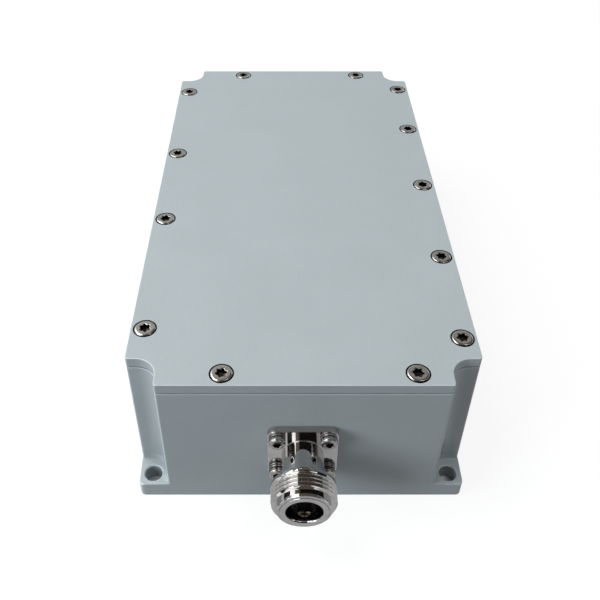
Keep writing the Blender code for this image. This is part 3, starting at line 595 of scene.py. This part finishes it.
# Lid. A flat aluminium plate with the housing's outline, its edges broken, drilled and countersunk
# for the screws and painted with the housing.
NOTCH_FILLET = 0.0052
NOTCH_WIDTH = 0.0078
NOTCH_LENGTH = 0.0083
EDGE_CHAMFER = 0.00017
COUNTERSINK_RADIUS = 0.00300
COUNTERSINK_RIM = 0.00025
SHANK_HOLE_RADIUS = 0.0018
FILLET_STEPS = 16
CORNER_STEPS = 6
TOOL_OVERRUN = 0.001


def lid_screw_axes():
    """Where each lid screw stands, on the lid's top face."""
    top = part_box("lid")[1].z
    axes = []
    for number in range(1, LID_SCREW_COUNT + 1):
        low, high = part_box("lid_screw_%02d" % number)
        axes.append(Matrix.Translation(((low.x + high.x) / 2, (low.y + high.y) / 2, top)))
    return axes


def lid_plate():
    """The lid, cut from a twelve-cornered face that is raised, rounded and chamfered."""
    low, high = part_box("lid")
    inner = Vector((high.x - NOTCH_WIDTH, high.y - NOTCH_LENGTH))
    corners = []
    for side, end in ((1, 1), (-1, 1), (-1, -1), (1, -1)):
        turn_of_corner = [(high.x, inner.y), (inner.x, inner.y), (inner.x, high.y)]
        if side * end < 0:
            turn_of_corner.reverse()
        corners += [(side * x, end * y, low.z) for x, y in turn_of_corner]
    bm = bmesh.new()
    face = bm.faces.new([bm.verts.new(corner) for corner in corners])
    raised = bmesh.ops.extrude_face_region(bm, geom=[face])
    bmesh.ops.translate(bm, vec=(0, 0, high.z - low.z),
                        verts=[part for part in raised["geom"] if isinstance(part, bmesh.types.BMVert)])
    bmesh.ops.recalc_face_normals(bm, faces=bm.faces)
    for concave, radius, steps in ((True, NOTCH_FILLET, FILLET_STEPS), (False, CORNER_RADIUS, CORNER_STEPS)):
        upright = [edge for edge in bm.edges
                   if abs(edge.verts[0].co.z - edge.verts[1].co.z) > WELD
                   and abs(edge.calc_face_angle_signed()) > SHARP_ANGLE
                   and (edge.calc_face_angle_signed() < 0) == concave]
        bmesh.ops.bevel(bm, geom=upright, offset=radius, offset_type="OFFSET", segments=steps,
                        profile=0.5, affect="EDGES", clamp_overlap=False, material=-1)
    rims = [edge for edge in bm.edges if abs(edge.verts[0].co.z - edge.verts[1].co.z) < WELD
            and edge.calc_face_angle() > SHARP_ANGLE]
    bmesh.ops.bevel(bm, geom=rims, offset=EDGE_CHAMFER, offset_type="OFFSET", segments=1,
                    profile=0.5, affect="EDGES", material=-1)
    return bm


low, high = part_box("lid")
hole_end = low.z - high.z - TOOL_OVERRUN
cone = COUNTERSINK_RADIUS - SHANK_HOLE_RADIUS
countersink = turn([(0, TOOL_OVERRUN), (COUNTERSINK_RADIUS, TOOL_OVERRUN),
                    (COUNTERSINK_RADIUS, -COUNTERSINK_RIM), (SHANK_HOLE_RADIUS, -COUNTERSINK_RIM - cone),
                    (SHANK_HOLE_RADIUS, hole_end), (0, hole_end)])
screw_axes = lid_screw_axes()
drilled = carve(lid_plate(), placed_copies(countersink, screw_axes))
mark_edges(drilled, high.x, high.y, CORNER_RADIUS)
# The countersinks' walls are near black: painted shade in the gap round each screw head.
for face in drilled.faces:
    middle = face.calc_center_median()
    near = min((middle - axis.translation).xy.length for axis in screw_axes)
    if near < COUNTERSINK_RADIUS and abs(face.normal.z) < LEVEL_SLOPE:
        face.material_index = IN_HOLES
countersink_shade = metal("countersink_shade", clean=(0.035, 0.034, 0.033), dull=(0.02, 0.02, 0.02),
                         roughness=0.60, unevenness=0.10, relief=0.000004)
finish_piece("painted_lid", drilled, [grey_paint, painted_edge_highlight, countersink_shade], ["lid"])

# Lid screws. Countersunk stainless machine screws, turned and then broached with a six-lobed
# recess. They are driven home until only a thin rim stands proud of the paint.
LID_HEAD_RADIUS = 0.00260
LID_HEAD_PROUD = 0.0003
LID_HEAD_RIM = 0.0001
LID_HEAD_EDGE = 0.00050
LID_HEAD_FALL = 0.00017
LID_HEAD_BEND = 0.2
LID_RIM_FALL = 1.6
LID_SHANK_RADIUS = 0.0015
LID_SCREW_LENGTH = 0.0100
LID_RECESS_RADIUS = 0.00150
LID_RECESS_DEPTH = 0.0014
LID_RECESS_DIMPLE = 0.0003
RECESS_FILLET = 0.0001
RECESS_SHARES = (0.7, 0.95, 0.98)
RECESS_LIP = 0.00008
LIP_WIDTH = 0.00016
LOBES = 6
LOBE_DEPTH = 0.24
HEAD_STEPS = 72
LID_SCREW_TURN = 1.7
IN_PAINTED_SHADE = 1
BURNISHED_HIGHLIGHT = 2

dull_stainless = metal("dull_stainless", clean=(0.33, 0.325, 0.30), dull=(0.20, 0.195, 0.18),
                       roughness=0.34, unevenness=0.22, relief=0.000006, metallic=0.5)
# Near-black steel for driver recesses and the sides and undersides of heads: painted shade.
steel_in_painted_shade = metal("steel_in_painted_shade", clean=(0.07, 0.06, 0.05), dull=(0.03, 0.03, 0.03),
                     roughness=0.30, unevenness=0.20, relief=0.000005)
# Brighter, glossier steel for head rims and recess lips: partly burnished metal, partly a painted highlight.
burnished_highlight_rim = metal("burnished_highlight_rim", clean=(0.55, 0.54, 0.52), dull=(0.42, 0.41, 0.39),
                      roughness=0.18, unevenness=0.10, relief=0.000002)


def six_lobes(bm, radius, top):
    """Turn the round walls of a driver recess into six lobes, dark inside with painted shade and bright on
    their lip.
    """
    for face in bm.faces:
        reach = max(vertex.co.xy.length for vertex in face.verts)
        inside = reach < radius and all(vertex.co.z < top - RECESS_LIP / 2 for vertex in face.verts)
        on_lip = reach < radius + LIP_WIDTH + WELD
        face.material_index = IN_PAINTED_SHADE if inside else BURNISHED_HIGHLIGHT if on_lip else 0
    for vertex in bm.verts:
        if WELD < vertex.co.xy.length < radius + LIP_WIDTH + WELD:
            wave = (1 - math.cos(LOBES * math.atan2(vertex.co.y, vertex.co.x))) / 2
            vertex.co.xy *= 1 - LOBE_DEPTH * wave


def recess_profile(radius, top, depth, dimple, lip):
    """A driver recess from its dimpled floor out to its lip, still round."""
    floor = top - depth
    level, foot, wall = (radius * share for share in RECESS_SHARES)
    return [(0, floor - dimple), (level, floor), (foot, floor + RECESS_FILLET), (wall, top - RECESS_LIP),
            (radius + lip, top)]


def lid_screw():
    """Recess, head and shank in one profile, from the recess floor out and down to the tip."""
    top = LID_HEAD_PROUD
    level = LID_HEAD_RADIUS - LID_HEAD_EDGE
    neck = -LID_HEAD_RIM - (LID_HEAD_RADIUS - LID_SHANK_RADIUS)
    recess = recess_profile(LID_RECESS_RADIUS, top, LID_RECESS_DEPTH, LID_RECESS_DIMPLE, LIP_WIDTH)
    bend = LID_HEAD_RADIUS - LID_HEAD_EDGE * LID_HEAD_BEND
    rim = top - LID_RIM_FALL * LID_HEAD_FALL
    bm = turn(recess + [(level, top), (bend, top - LID_HEAD_FALL), (LID_HEAD_RADIUS, rim),
                        (LID_HEAD_RADIUS, -LID_HEAD_RIM), (LID_SHANK_RADIUS, neck),
                        (LID_SHANK_RADIUS, -LID_SCREW_LENGTH), (0, -LID_SCREW_LENGTH)], HEAD_STEPS)
    six_lobes(bm, LID_RECESS_RADIUS, top)
    # On the head's rim, upward faces take the bright rim steel and the side takes the dark steel of painted
    # shade.
    for face in bm.faces:
        if face.calc_center_median().xy.length > level:
            face.material_index = BURNISHED_HIGHLIGHT if face.normal.z > UPRIGHT_SLOPE else IN_PAINTED_SHADE
    return bm


for number, axis in enumerate(screw_axes, start=1):
    screw = lid_screw()
    driven = Matrix.Rotation(number * LID_SCREW_TURN, 4, "Z")
    bmesh.ops.transform(screw, matrix=axis @ driven, verts=screw.verts)
    finish_piece("steel_lid_screw_%02d" % number, screw, [dull_stainless, steel_in_painted_shade, burnished_highlight_rim],
                 ["lid_screw_%02d" % number])

# Port shells. Flange, barrel, threaded collar and lip are turned and milled from one brass bar and
# nickel-plated bright. The collar's thread starts in a chamfer and runs out before its plain ring.
WALL_GAP = 0.0003
FLANGE_WIDTH = 0.0175
FLANGE_THICKNESS = 0.0016
FLANGE_CORNER = 0.0022
FLANGE_EDGE = 0.00018
FLANGE_HOLE_SPACING = 0.0127
FLANGE_HOLE_RADIUS = 0.00155
HOLE_STEPS = 32
BARREL_RADIUS = 0.0052
BARREL_LENGTH = 0.0091
COLLAR_RADIUS = 0.00794
COLLAR_LENGTH = 0.0056
COLLAR_CHAMFER = 0.0006
COLLAR_BACK_CHAMFER = 0.0002
PLAIN_RING = 0.0010
LIP_RADIUS = 0.0065
LIP_LENGTH = 0.0015
LIP_EDGE = 0.0003
LIP_ROOT = 0.001
LIP_ROUNDING = (0.1, 0.35)
FACE_STEP = 0.00012
FACE_STEP_RADIUS = 0.0058
FACE_GROOVE = 0.00010
BORE_RADIUS = 0.0041
BORE_FLARE = 0.0004
BORE_FLARE_DEPTH = 0.0009
FLANGE_FILLET = 0.00022
FILLET_MIDDLE = 0.3
BORE_DEPTH = 0.0090
SLEEVE_NECK = 0.0035
SLEEVE_STEP = 0.0005
THREAD_PITCH = 0.0254 / 24
THREAD_DEPTH = 0.00060
THREAD_STEPS = 96
THREAD_RUN_OUT = 0.6
ROOT_SHARE = 0.7
SIDE_MARGIN = 0.0002
SIDE_SLOPE = 0.5
FACED = 1
SHADED_HOLLOW = 2
WARM_REFLECTION = 3
THREAD_PROFILE = ((0.0, 1.0), (0.10, 1.0), (0.17, 0.8), (0.25, 0.53), (0.33, 0.27), (0.41, 0.03), (0.45, 0.0),
                  (0.53, 0.0), (0.57, 0.03), (0.65, 0.27), (0.73, 0.53), (0.81, 0.8), (0.88, 1.0))

flange_top = WALL_GAP + FLANGE_THICKNESS
collar_start = flange_top + BARREL_LENGTH
ring_end = collar_start + PLAIN_RING
collar_end = collar_start + COLLAR_LENGTH
mouth = collar_end + LIP_LENGTH
shoulder = mouth - BORE_DEPTH - SLEEVE_NECK

bright_nickel = metal("bright_nickel", clean=(0.56, 0.55, 0.54), dull=(0.46, 0.45, 0.44),
                      roughness=0.07, unevenness=0.10, relief=0.0000015)
faced_nickel = metal("faced_nickel", clean=(0.54, 0.53, 0.53), dull=(0.45, 0.44, 0.43),
                     roughness=0.26, unevenness=0.12, relief=0.000003)
# Warmer nickel for the flange's milled sides: a painted warm reflection.
nickel_warm_reflection = metal("nickel_warm_reflection", clean=(0.50, 0.44, 0.42), dull=(0.42, 0.37, 0.35),
                      roughness=0.26, unevenness=0.12, relief=0.000003)
# Darker nickel for the bore and the thread roots: painted shade in the hollows.
nickel_in_painted_shade = metal("nickel_in_painted_shade", clean=(0.36, 0.36, 0.355), dull=(0.27, 0.27, 0.265),
                     roughness=0.08, unevenness=0.06, relief=0.000001)


def port_axes():
    """Each port's own frame: Z out of the wall, Y up, on the wall's face."""
    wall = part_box("housing")[0].y
    front = Matrix.Translation((0, wall, PORT_HEIGHT)) @ Matrix.Rotation(math.pi / 2, 4, "X")
    return {"front": front, "rear": Matrix.Rotation(math.pi, 4, "Z") @ front}


def threaded_collar():
    """A collar whose groove is swept along a helix, trimmed flat, chamfered and run out."""
    bm = bmesh.new()
    pitch = THREAD_PITCH
    turns = math.ceil(COLLAR_LENGTH / pitch) + 2
    low = collar_start - pitch
    points = []
    for turn_number in range(turns):
        base = low + turn_number * pitch
        for share, depth in THREAD_PROFILE:
            points.append(bm.verts.new((COLLAR_RADIUS - depth * THREAD_DEPTH, 0, base + share * pitch)))
    points.append(bm.verts.new((COLLAR_RADIUS - THREAD_DEPTH, 0, low + turns * pitch)))
    lines = [bm.edges.new(pair) for pair in zip(points, points[1:])]
    bmesh.ops.spin(bm, geom=points + lines, cent=(0, 0, 0), axis=(0, 0, 1),
                   dvec=(0, 0, pitch / THREAD_STEPS), angle=math.tau, steps=THREAD_STEPS,
                   use_merge=False, use_duplicate=False)
    bmesh.ops.remove_doubles(bm, verts=bm.verts, dist=WELD)
    for height, keep in ((collar_start, "above"), (collar_end, "below"), (ring_end, "both"),
                         (collar_end - COLLAR_CHAMFER, "both"), (collar_start + COLLAR_BACK_CHAMFER, "both")):
        bmesh.ops.bisect_plane(bm, geom=bm.verts[:] + bm.edges[:] + bm.faces[:], dist=WELD / 10,
                               plane_co=(0, 0, height), plane_no=(0, 0, 1),
                               clear_inner=keep == "above", clear_outer=keep == "below")
    for vertex in bm.verts:
        radius = math.hypot(vertex.co.x, vertex.co.y)
        run_out = min(max((vertex.co.z - ring_end) / (THREAD_RUN_OUT * pitch), 0.0), 1.0)
        wanted = COLLAR_RADIUS - (COLLAR_RADIUS - radius) * run_out
        front_limit = COLLAR_RADIUS - COLLAR_CHAMFER + (collar_end - vertex.co.z)
        back_limit = COLLAR_RADIUS - COLLAR_BACK_CHAMFER + (vertex.co.z - collar_start)
        share = min(wanted, front_limit, back_limit) / radius
        vertex.co.x *= share
        vertex.co.y *= share
    bmesh.ops.holes_fill(bm, edges=bm.edges, sides=0)
    bmesh.ops.recalc_face_normals(bm, faces=bm.faces)
    return bm


def flange_plate():
    """The square flange with round corners and softened edges."""
    bm = bmesh.new()
    bmesh.ops.create_cube(bm, size=1.0)
    bmesh.ops.scale(bm, vec=(FLANGE_WIDTH, FLANGE_WIDTH, FLANGE_THICKNESS), verts=bm.verts)
    bmesh.ops.translate(bm, vec=(0, 0, WALL_GAP + FLANGE_THICKNESS / 2), verts=bm.verts)
    upright = [edge for edge in bm.edges if abs(edge.verts[0].co.z - edge.verts[1].co.z) > WELD]
    bmesh.ops.bevel(bm, geom=upright, offset=FLANGE_CORNER, offset_type="OFFSET", segments=10, profile=0.5,
                    affect="EDGES", material=-1)
    rims = [edge for edge in bm.edges if edge.calc_face_angle() > SHARP_ANGLE]
    bmesh.ops.bevel(bm, geom=rims, offset=FLANGE_EDGE, offset_type="OFFSET", segments=3, profile=0.5,
                    affect="EDGES", material=-1)
    return bm


def flange_corners():
    """The four screw axes in the port's frame."""
    half = FLANGE_HOLE_SPACING / 2
    return [Matrix.Translation((x, y, 0)) for y in (half, -half) for x in (-half, half)]


def port_shell():
    """Flange, barrel, collar and lip united, then bored and drilled."""
    middle = WALL_GAP + FLANGE_THICKNESS / 2
    brim = mouth - FACE_STEP
    root = BARREL_RADIUS + FLANGE_FILLET
    groove = brim - FACE_GROOVE
    inward, down = (share * LIP_EDGE for share in LIP_ROUNDING)
    swell = FILLET_MIDDLE * FLANGE_FILLET
    barrel = turn([(0, mouth), (FACE_STEP_RADIUS, mouth), (FACE_STEP_RADIUS + FACE_GROOVE / 2, groove),
                   (FACE_STEP_RADIUS + FACE_GROOVE, groove), (FACE_STEP_RADIUS + 2 * FACE_GROOVE, brim),
                   (LIP_RADIUS - LIP_EDGE, brim), (LIP_RADIUS - inward, brim - down),
                   (LIP_RADIUS, brim - LIP_EDGE), (LIP_RADIUS, collar_end - LIP_ROOT),
                   (BARREL_RADIUS, collar_end - LIP_ROOT), (BARREL_RADIUS, flange_top + FLANGE_FILLET),
                   (BARREL_RADIUS + swell, flange_top + swell), (root, flange_top - WELD), (root, middle),
                   (0, middle)], THREAD_STEPS)
    shell = carve(flange_plate(), barrel, "UNION")
    shell = carve(shell, threaded_collar(), "UNION")
    wide = BORE_RADIUS + BORE_FLARE * (1 + TOOL_OVERRUN / BORE_FLARE_DEPTH)
    rear = BORE_RADIUS + SLEEVE_STEP
    bore = turn([(0, mouth + TOOL_OVERRUN), (wide, mouth + TOOL_OVERRUN),
                 (BORE_RADIUS, mouth - BORE_FLARE_DEPTH), (BORE_RADIUS, shoulder), (rear, shoulder),
                 (rear, -TOOL_OVERRUN), (0, -TOOL_OVERRUN)], THREAD_STEPS)
    shell = carve(shell, bore)
    hole = turn([(0, flange_top + TOOL_OVERRUN), (FLANGE_HOLE_RADIUS, flange_top + TOOL_OVERRUN),
                 (FLANGE_HOLE_RADIUS, -TOOL_OVERRUN), (0, -TOOL_OVERRUN)], HOLE_STEPS)
    return carve(shell, placed_copies(hole, flange_corners()))


def mark_finishes(shell):
    """Tell the flange sides, with their painted warm reflection, the faced brim, and the bore and thread
    roots, dark with painted shade, from the rest.
    """
    for face in shell.faces:
        reach = max(vertex.co.xy.length for vertex in face.verts)
        height = face.calc_center_median().z
        in_thread = ring_end < height < collar_end - COLLAR_CHAMFER
        in_root = in_thread and LIP_RADIUS < reach < COLLAR_RADIUS - ROOT_SHARE * THREAD_DEPTH
        in_bore = reach < BORE_RADIUS + BORE_FLARE / 4
        if reach > FLANGE_WIDTH / 2 - SIDE_MARGIN and abs(face.normal.z) < SIDE_SLOPE:
            face.material_index = WARM_REFLECTION
        elif face.normal.z > LEVEL_SLOPE and height > mouth - 2 * FACE_STEP:
            face.material_index = FACED
        else:
            face.material_index = SHADED_HOLLOW if in_bore or in_root else 0


for name, axis in port_axes().items():
    shell = port_shell()
    mark_finishes(shell)
    bmesh.ops.transform(shell, matrix=axis, verts=shell.verts)
    finish_piece("nickel_shell_" + name, shell, [bright_nickel, faced_nickel, nickel_in_painted_shade, nickel_warm_reflection],
                 [name + "_port_shell"])

# Sleeves and contacts. A white fluoropolymer sleeve, pressed in from behind, holds the gold-plated
# socket contact on the port's axis. The contact's mouth is slotted into four fingers.
CONTACT_RADIUS = 0.0015
CONTACT_RECESS = 0.0041
CONTACT_BORE = 0.0008
CONTACT_BORE_DEPTH = 0.0035
CONTACT_SLOT = 0.0002
CONTACT_TAIL_RADIUS = 0.0011
CONTACT_TAIL_LENGTH = 0.0030
END_WALL = 0.0115
SLEEVE_CLEARANCE = 0.0003
SLEEVE_EDGE = 0.0001
SLEEVE_WHITE = (0.84, 0.84, 0.82)
SLEEVE_SHADE = (0.76, 0.76, 0.73)
SLEEVE_CLOUD_SCALE = 900.0
SLEEVE_ROUGHNESS = 0.42
SLEEVE_RELIEF = 0.00001
CONTACT_EDGE = 0.00012

contact_face = mouth - CONTACT_RECESS
sleeve_face = mouth - BORE_DEPTH


def sleeve():
    """A stepped tube with softened rims, from its front face back through the end wall."""
    hole = CONTACT_RADIUS + SLEEVE_CLEARANCE
    thin = BORE_RADIUS - SLEEVE_CLEARANCE
    thick = BORE_RADIUS + SLEEVE_STEP - SLEEVE_CLEARANCE
    step = shoulder - SLEEVE_CLEARANCE
    softened = sleeve_face - SLEEVE_EDGE
    profile = [(hole + SLEEVE_EDGE, sleeve_face), (thin - SLEEVE_EDGE, sleeve_face), (thin, softened),
               (thin, step), (thick, step), (thick, -END_WALL), (hole, -END_WALL), (hole, softened)]
    return turn(profile + profile[:1])


def contact():
    """A turned pin, bored at its mouth, slotted twice across and stepped down at its tail."""
    bore_end = contact_face - CONTACT_BORE_DEPTH
    tail_end = -END_WALL - CONTACT_TAIL_LENGTH
    edge = CONTACT_EDGE
    pin = turn([(0, bore_end), (CONTACT_BORE, bore_end), (CONTACT_BORE, contact_face - edge),
                (CONTACT_BORE + edge, contact_face), (CONTACT_RADIUS - 2 * edge, contact_face),
                (CONTACT_RADIUS - edge / 2, contact_face - edge / 2),
                (CONTACT_RADIUS, contact_face - 2 * edge), (CONTACT_RADIUS, -END_WALL),
                (CONTACT_TAIL_RADIUS, -END_WALL), (CONTACT_TAIL_RADIUS, tail_end), (0, tail_end)])
    for angle in (0, math.pi / 2):
        slot = bmesh.new()
        bmesh.ops.create_cube(slot, size=1.0)
        length = CONTACT_BORE_DEPTH + TOOL_OVERRUN
        bmesh.ops.scale(slot, vec=(2 * CONTACT_RADIUS + TOOL_OVERRUN, CONTACT_SLOT, length), verts=slot.verts)
        bmesh.ops.rotate(slot, cent=(0, 0, 0), matrix=Matrix.Rotation(angle, 3, "Z"), verts=slot.verts)
        middle = bore_end + CONTACT_SLOT + length / 2
        bmesh.ops.translate(slot, vec=(0, 0, middle), verts=slot.verts)
        pin = carve(pin, slot)
    return pin


gold_plate = metal("gold_plate", clean=(0.68, 0.61, 0.49), dull=(0.58, 0.51, 0.40),
                   roughness=0.30, unevenness=0.1, relief=0.000002)


def fluoropolymer():
    """White, slightly waxy plastic with faint drifts of tone."""
    material, tree, shader = new_material("white_fluoropolymer", {"Roughness": SLEEVE_ROUGHNESS})
    cloud = noise(tree, SLEEVE_CLOUD_SCALE, 4.0)
    tone = add_node(tree, "ShaderNodeMix", data_type="RGBA")
    tone.inputs[FIRST_COLOUR].default_value = (*SLEEVE_WHITE, 1.0)
    tone.inputs[SECOND_COLOUR].default_value = (*SLEEVE_SHADE, 1.0)
    bump = add_node(tree, "ShaderNodeBump", {"Strength": 1.0, "Distance": SLEEVE_RELIEF})
    tree.links.new(cloud, tone.inputs["Factor"])
    tree.links.new(tone.outputs[MIXED_COLOUR], shader.inputs["Base Color"])
    tree.links.new(cloud, bump.inputs["Height"])
    tree.links.new(bump.outputs["Normal"], shader.inputs["Normal"])
    return material


white_sleeve = fluoropolymer()
for name, axis in port_axes().items():
    for shape, label, node, material, slot in (
            (sleeve(), "white_sleeve_", "_port_insulator", white_sleeve, "white_insulator"),
            (contact(), "gold_contact_", "_port_contact", gold_plate, "gold_plating")):
        bmesh.ops.transform(shape, matrix=axis, verts=shape.verts)
        finish_piece(label + name, shape, [material], [name + node])

# Flange screws and washers. Crowned stainless screws with a six-lobed recess clamp each flange
# through split spring washers.
CONTACT_GAP = 0.00003
WASHER_OUTER = 0.0021
WASHER_INNER = 0.00155
WASHER_THICKNESS = 0.00060
WASHER_EDGE = 0.00008
WASHER_SPLIT = 0.0005
WASHER_RISE = 0.00008
WASHER_STEPS = 48
SPLIT_TURN = 0.3
FLANGE_HEAD_RADIUS = 0.0021
FLANGE_HEAD_HEIGHT = 0.00155
FLANGE_HEAD_CROWN = 0.0007
CROWN_STEPS = 8
CROWN_START = 0.00005
FLANGE_HEAD_CHAMFER = 0.0003
FLANGE_SHANK_RADIUS = 0.00125
FLANGE_SCREW_LENGTH = 0.0080
FLANGE_RECESS_RADIUS = 0.00115
FLANGE_RECESS_DEPTH = 0.0011
FLANGE_RECESS_DIMPLE = 0.00025
FLANGE_SCREW_TURN = 0.9

washer_bottom = flange_top + CONTACT_GAP
screw_seat = washer_bottom + WASHER_THICKNESS + CONTACT_GAP


def spring_washer():
    """A square section swept not quite round, with a slight rise from one end to the other."""
    bm = bmesh.new()
    split = WASHER_SPLIT / WASHER_OUTER
    height = WASHER_THICKNESS - WASHER_RISE
    corners = [(WASHER_INNER, 0), (WASHER_OUTER, 0), (WASHER_OUTER, height), (WASHER_INNER, height)]
    section = bm.faces.new([bm.verts.new((x, 0, z)) for x, z in corners])
    bmesh.ops.bevel(bm, geom=section.verts[:], offset=WASHER_EDGE, offset_type="OFFSET", segments=2,
                    profile=0.5, affect="VERTICES", material=-1)
    start = Matrix.Rotation(math.pi / 2 + split / 2, 3, "Z")
    bmesh.ops.rotate(bm, cent=(0, 0, 0), matrix=start, verts=bm.verts)
    bmesh.ops.spin(bm, geom=bm.verts[:] + bm.edges[:] + bm.faces[:], cent=(0, 0, 0), axis=(0, 0, 1),
                   dvec=(0, 0, WASHER_RISE / WASHER_STEPS), angle=math.tau - split, steps=WASHER_STEPS,
                   use_merge=False, use_duplicate=False)
    return bm


def flange_screw():
    """A crowned head with its recess, and a shank, in one profile."""
    top = FLANGE_HEAD_HEIGHT
    head = FLANGE_HEAD_RADIUS
    rim = FLANGE_RECESS_RADIUS + LIP_WIDTH + CROWN_START
    profile = recess_profile(FLANGE_RECESS_RADIUS, top, FLANGE_RECESS_DEPTH, FLANGE_RECESS_DIMPLE,
                             LIP_WIDTH / 2)
    for step in range(1, CROWN_STEPS + 1):
        angle = math.pi / 2 * step / CROWN_STEPS
        radius = rim + (head - rim) * math.sin(angle)
        profile.append((radius, top - FLANGE_HEAD_CROWN * (1 - math.cos(angle))))
    profile += [(head, FLANGE_HEAD_CHAMFER), (head - FLANGE_HEAD_CHAMFER, 0), (FLANGE_SHANK_RADIUS, 0),
                (FLANGE_SHANK_RADIUS, -FLANGE_SCREW_LENGTH), (0, -FLANGE_SCREW_LENGTH)]
    bm = turn(profile, HEAD_STEPS)
    six_lobes(bm, FLANGE_RECESS_RADIUS, top)
    # The chamfer under the head and the shank are dark with painted shade.
    for face in bm.faces:
        if face.calc_center_median().z < FLANGE_HEAD_CHAMFER:
            face.material_index = IN_PAINTED_SHADE
    return bm


clean_steel = metal("clean_steel", clean=(0.42, 0.41, 0.395), dull=(0.32, 0.31, 0.30),
                    roughness=0.26, unevenness=0.08, relief=0.000001)
for name, axis in port_axes().items():
    for number, corner in enumerate(flange_corners(), start=1):
        split = Matrix.Rotation(math.pi + number * SPLIT_TURN, 4, "Z")
        washer = spring_washer()
        bmesh.ops.transform(washer, matrix=axis @ corner @ Matrix.Translation((0, 0, washer_bottom)) @ split,
                            verts=washer.verts)
        finish_piece("spring_washer_%s_%d" % (name, number), washer, [clean_steel],
                     ["%s_port_washer_%d" % (name, number)])
        driven = Matrix.Rotation(number * FLANGE_SCREW_TURN, 4, "Z")
        screw = flange_screw()
        bmesh.ops.transform(screw, matrix=axis @ corner @ Matrix.Translation((0, 0, screw_seat)) @ driven,
                            verts=screw.verts)
        finish_piece("steel_flange_screw_%s_%d" % (name, number), screw,
                     [clean_steel, steel_in_painted_shade, burnished_highlight_rim],
                     ["%s_port_screw_%d" % (name, number)])
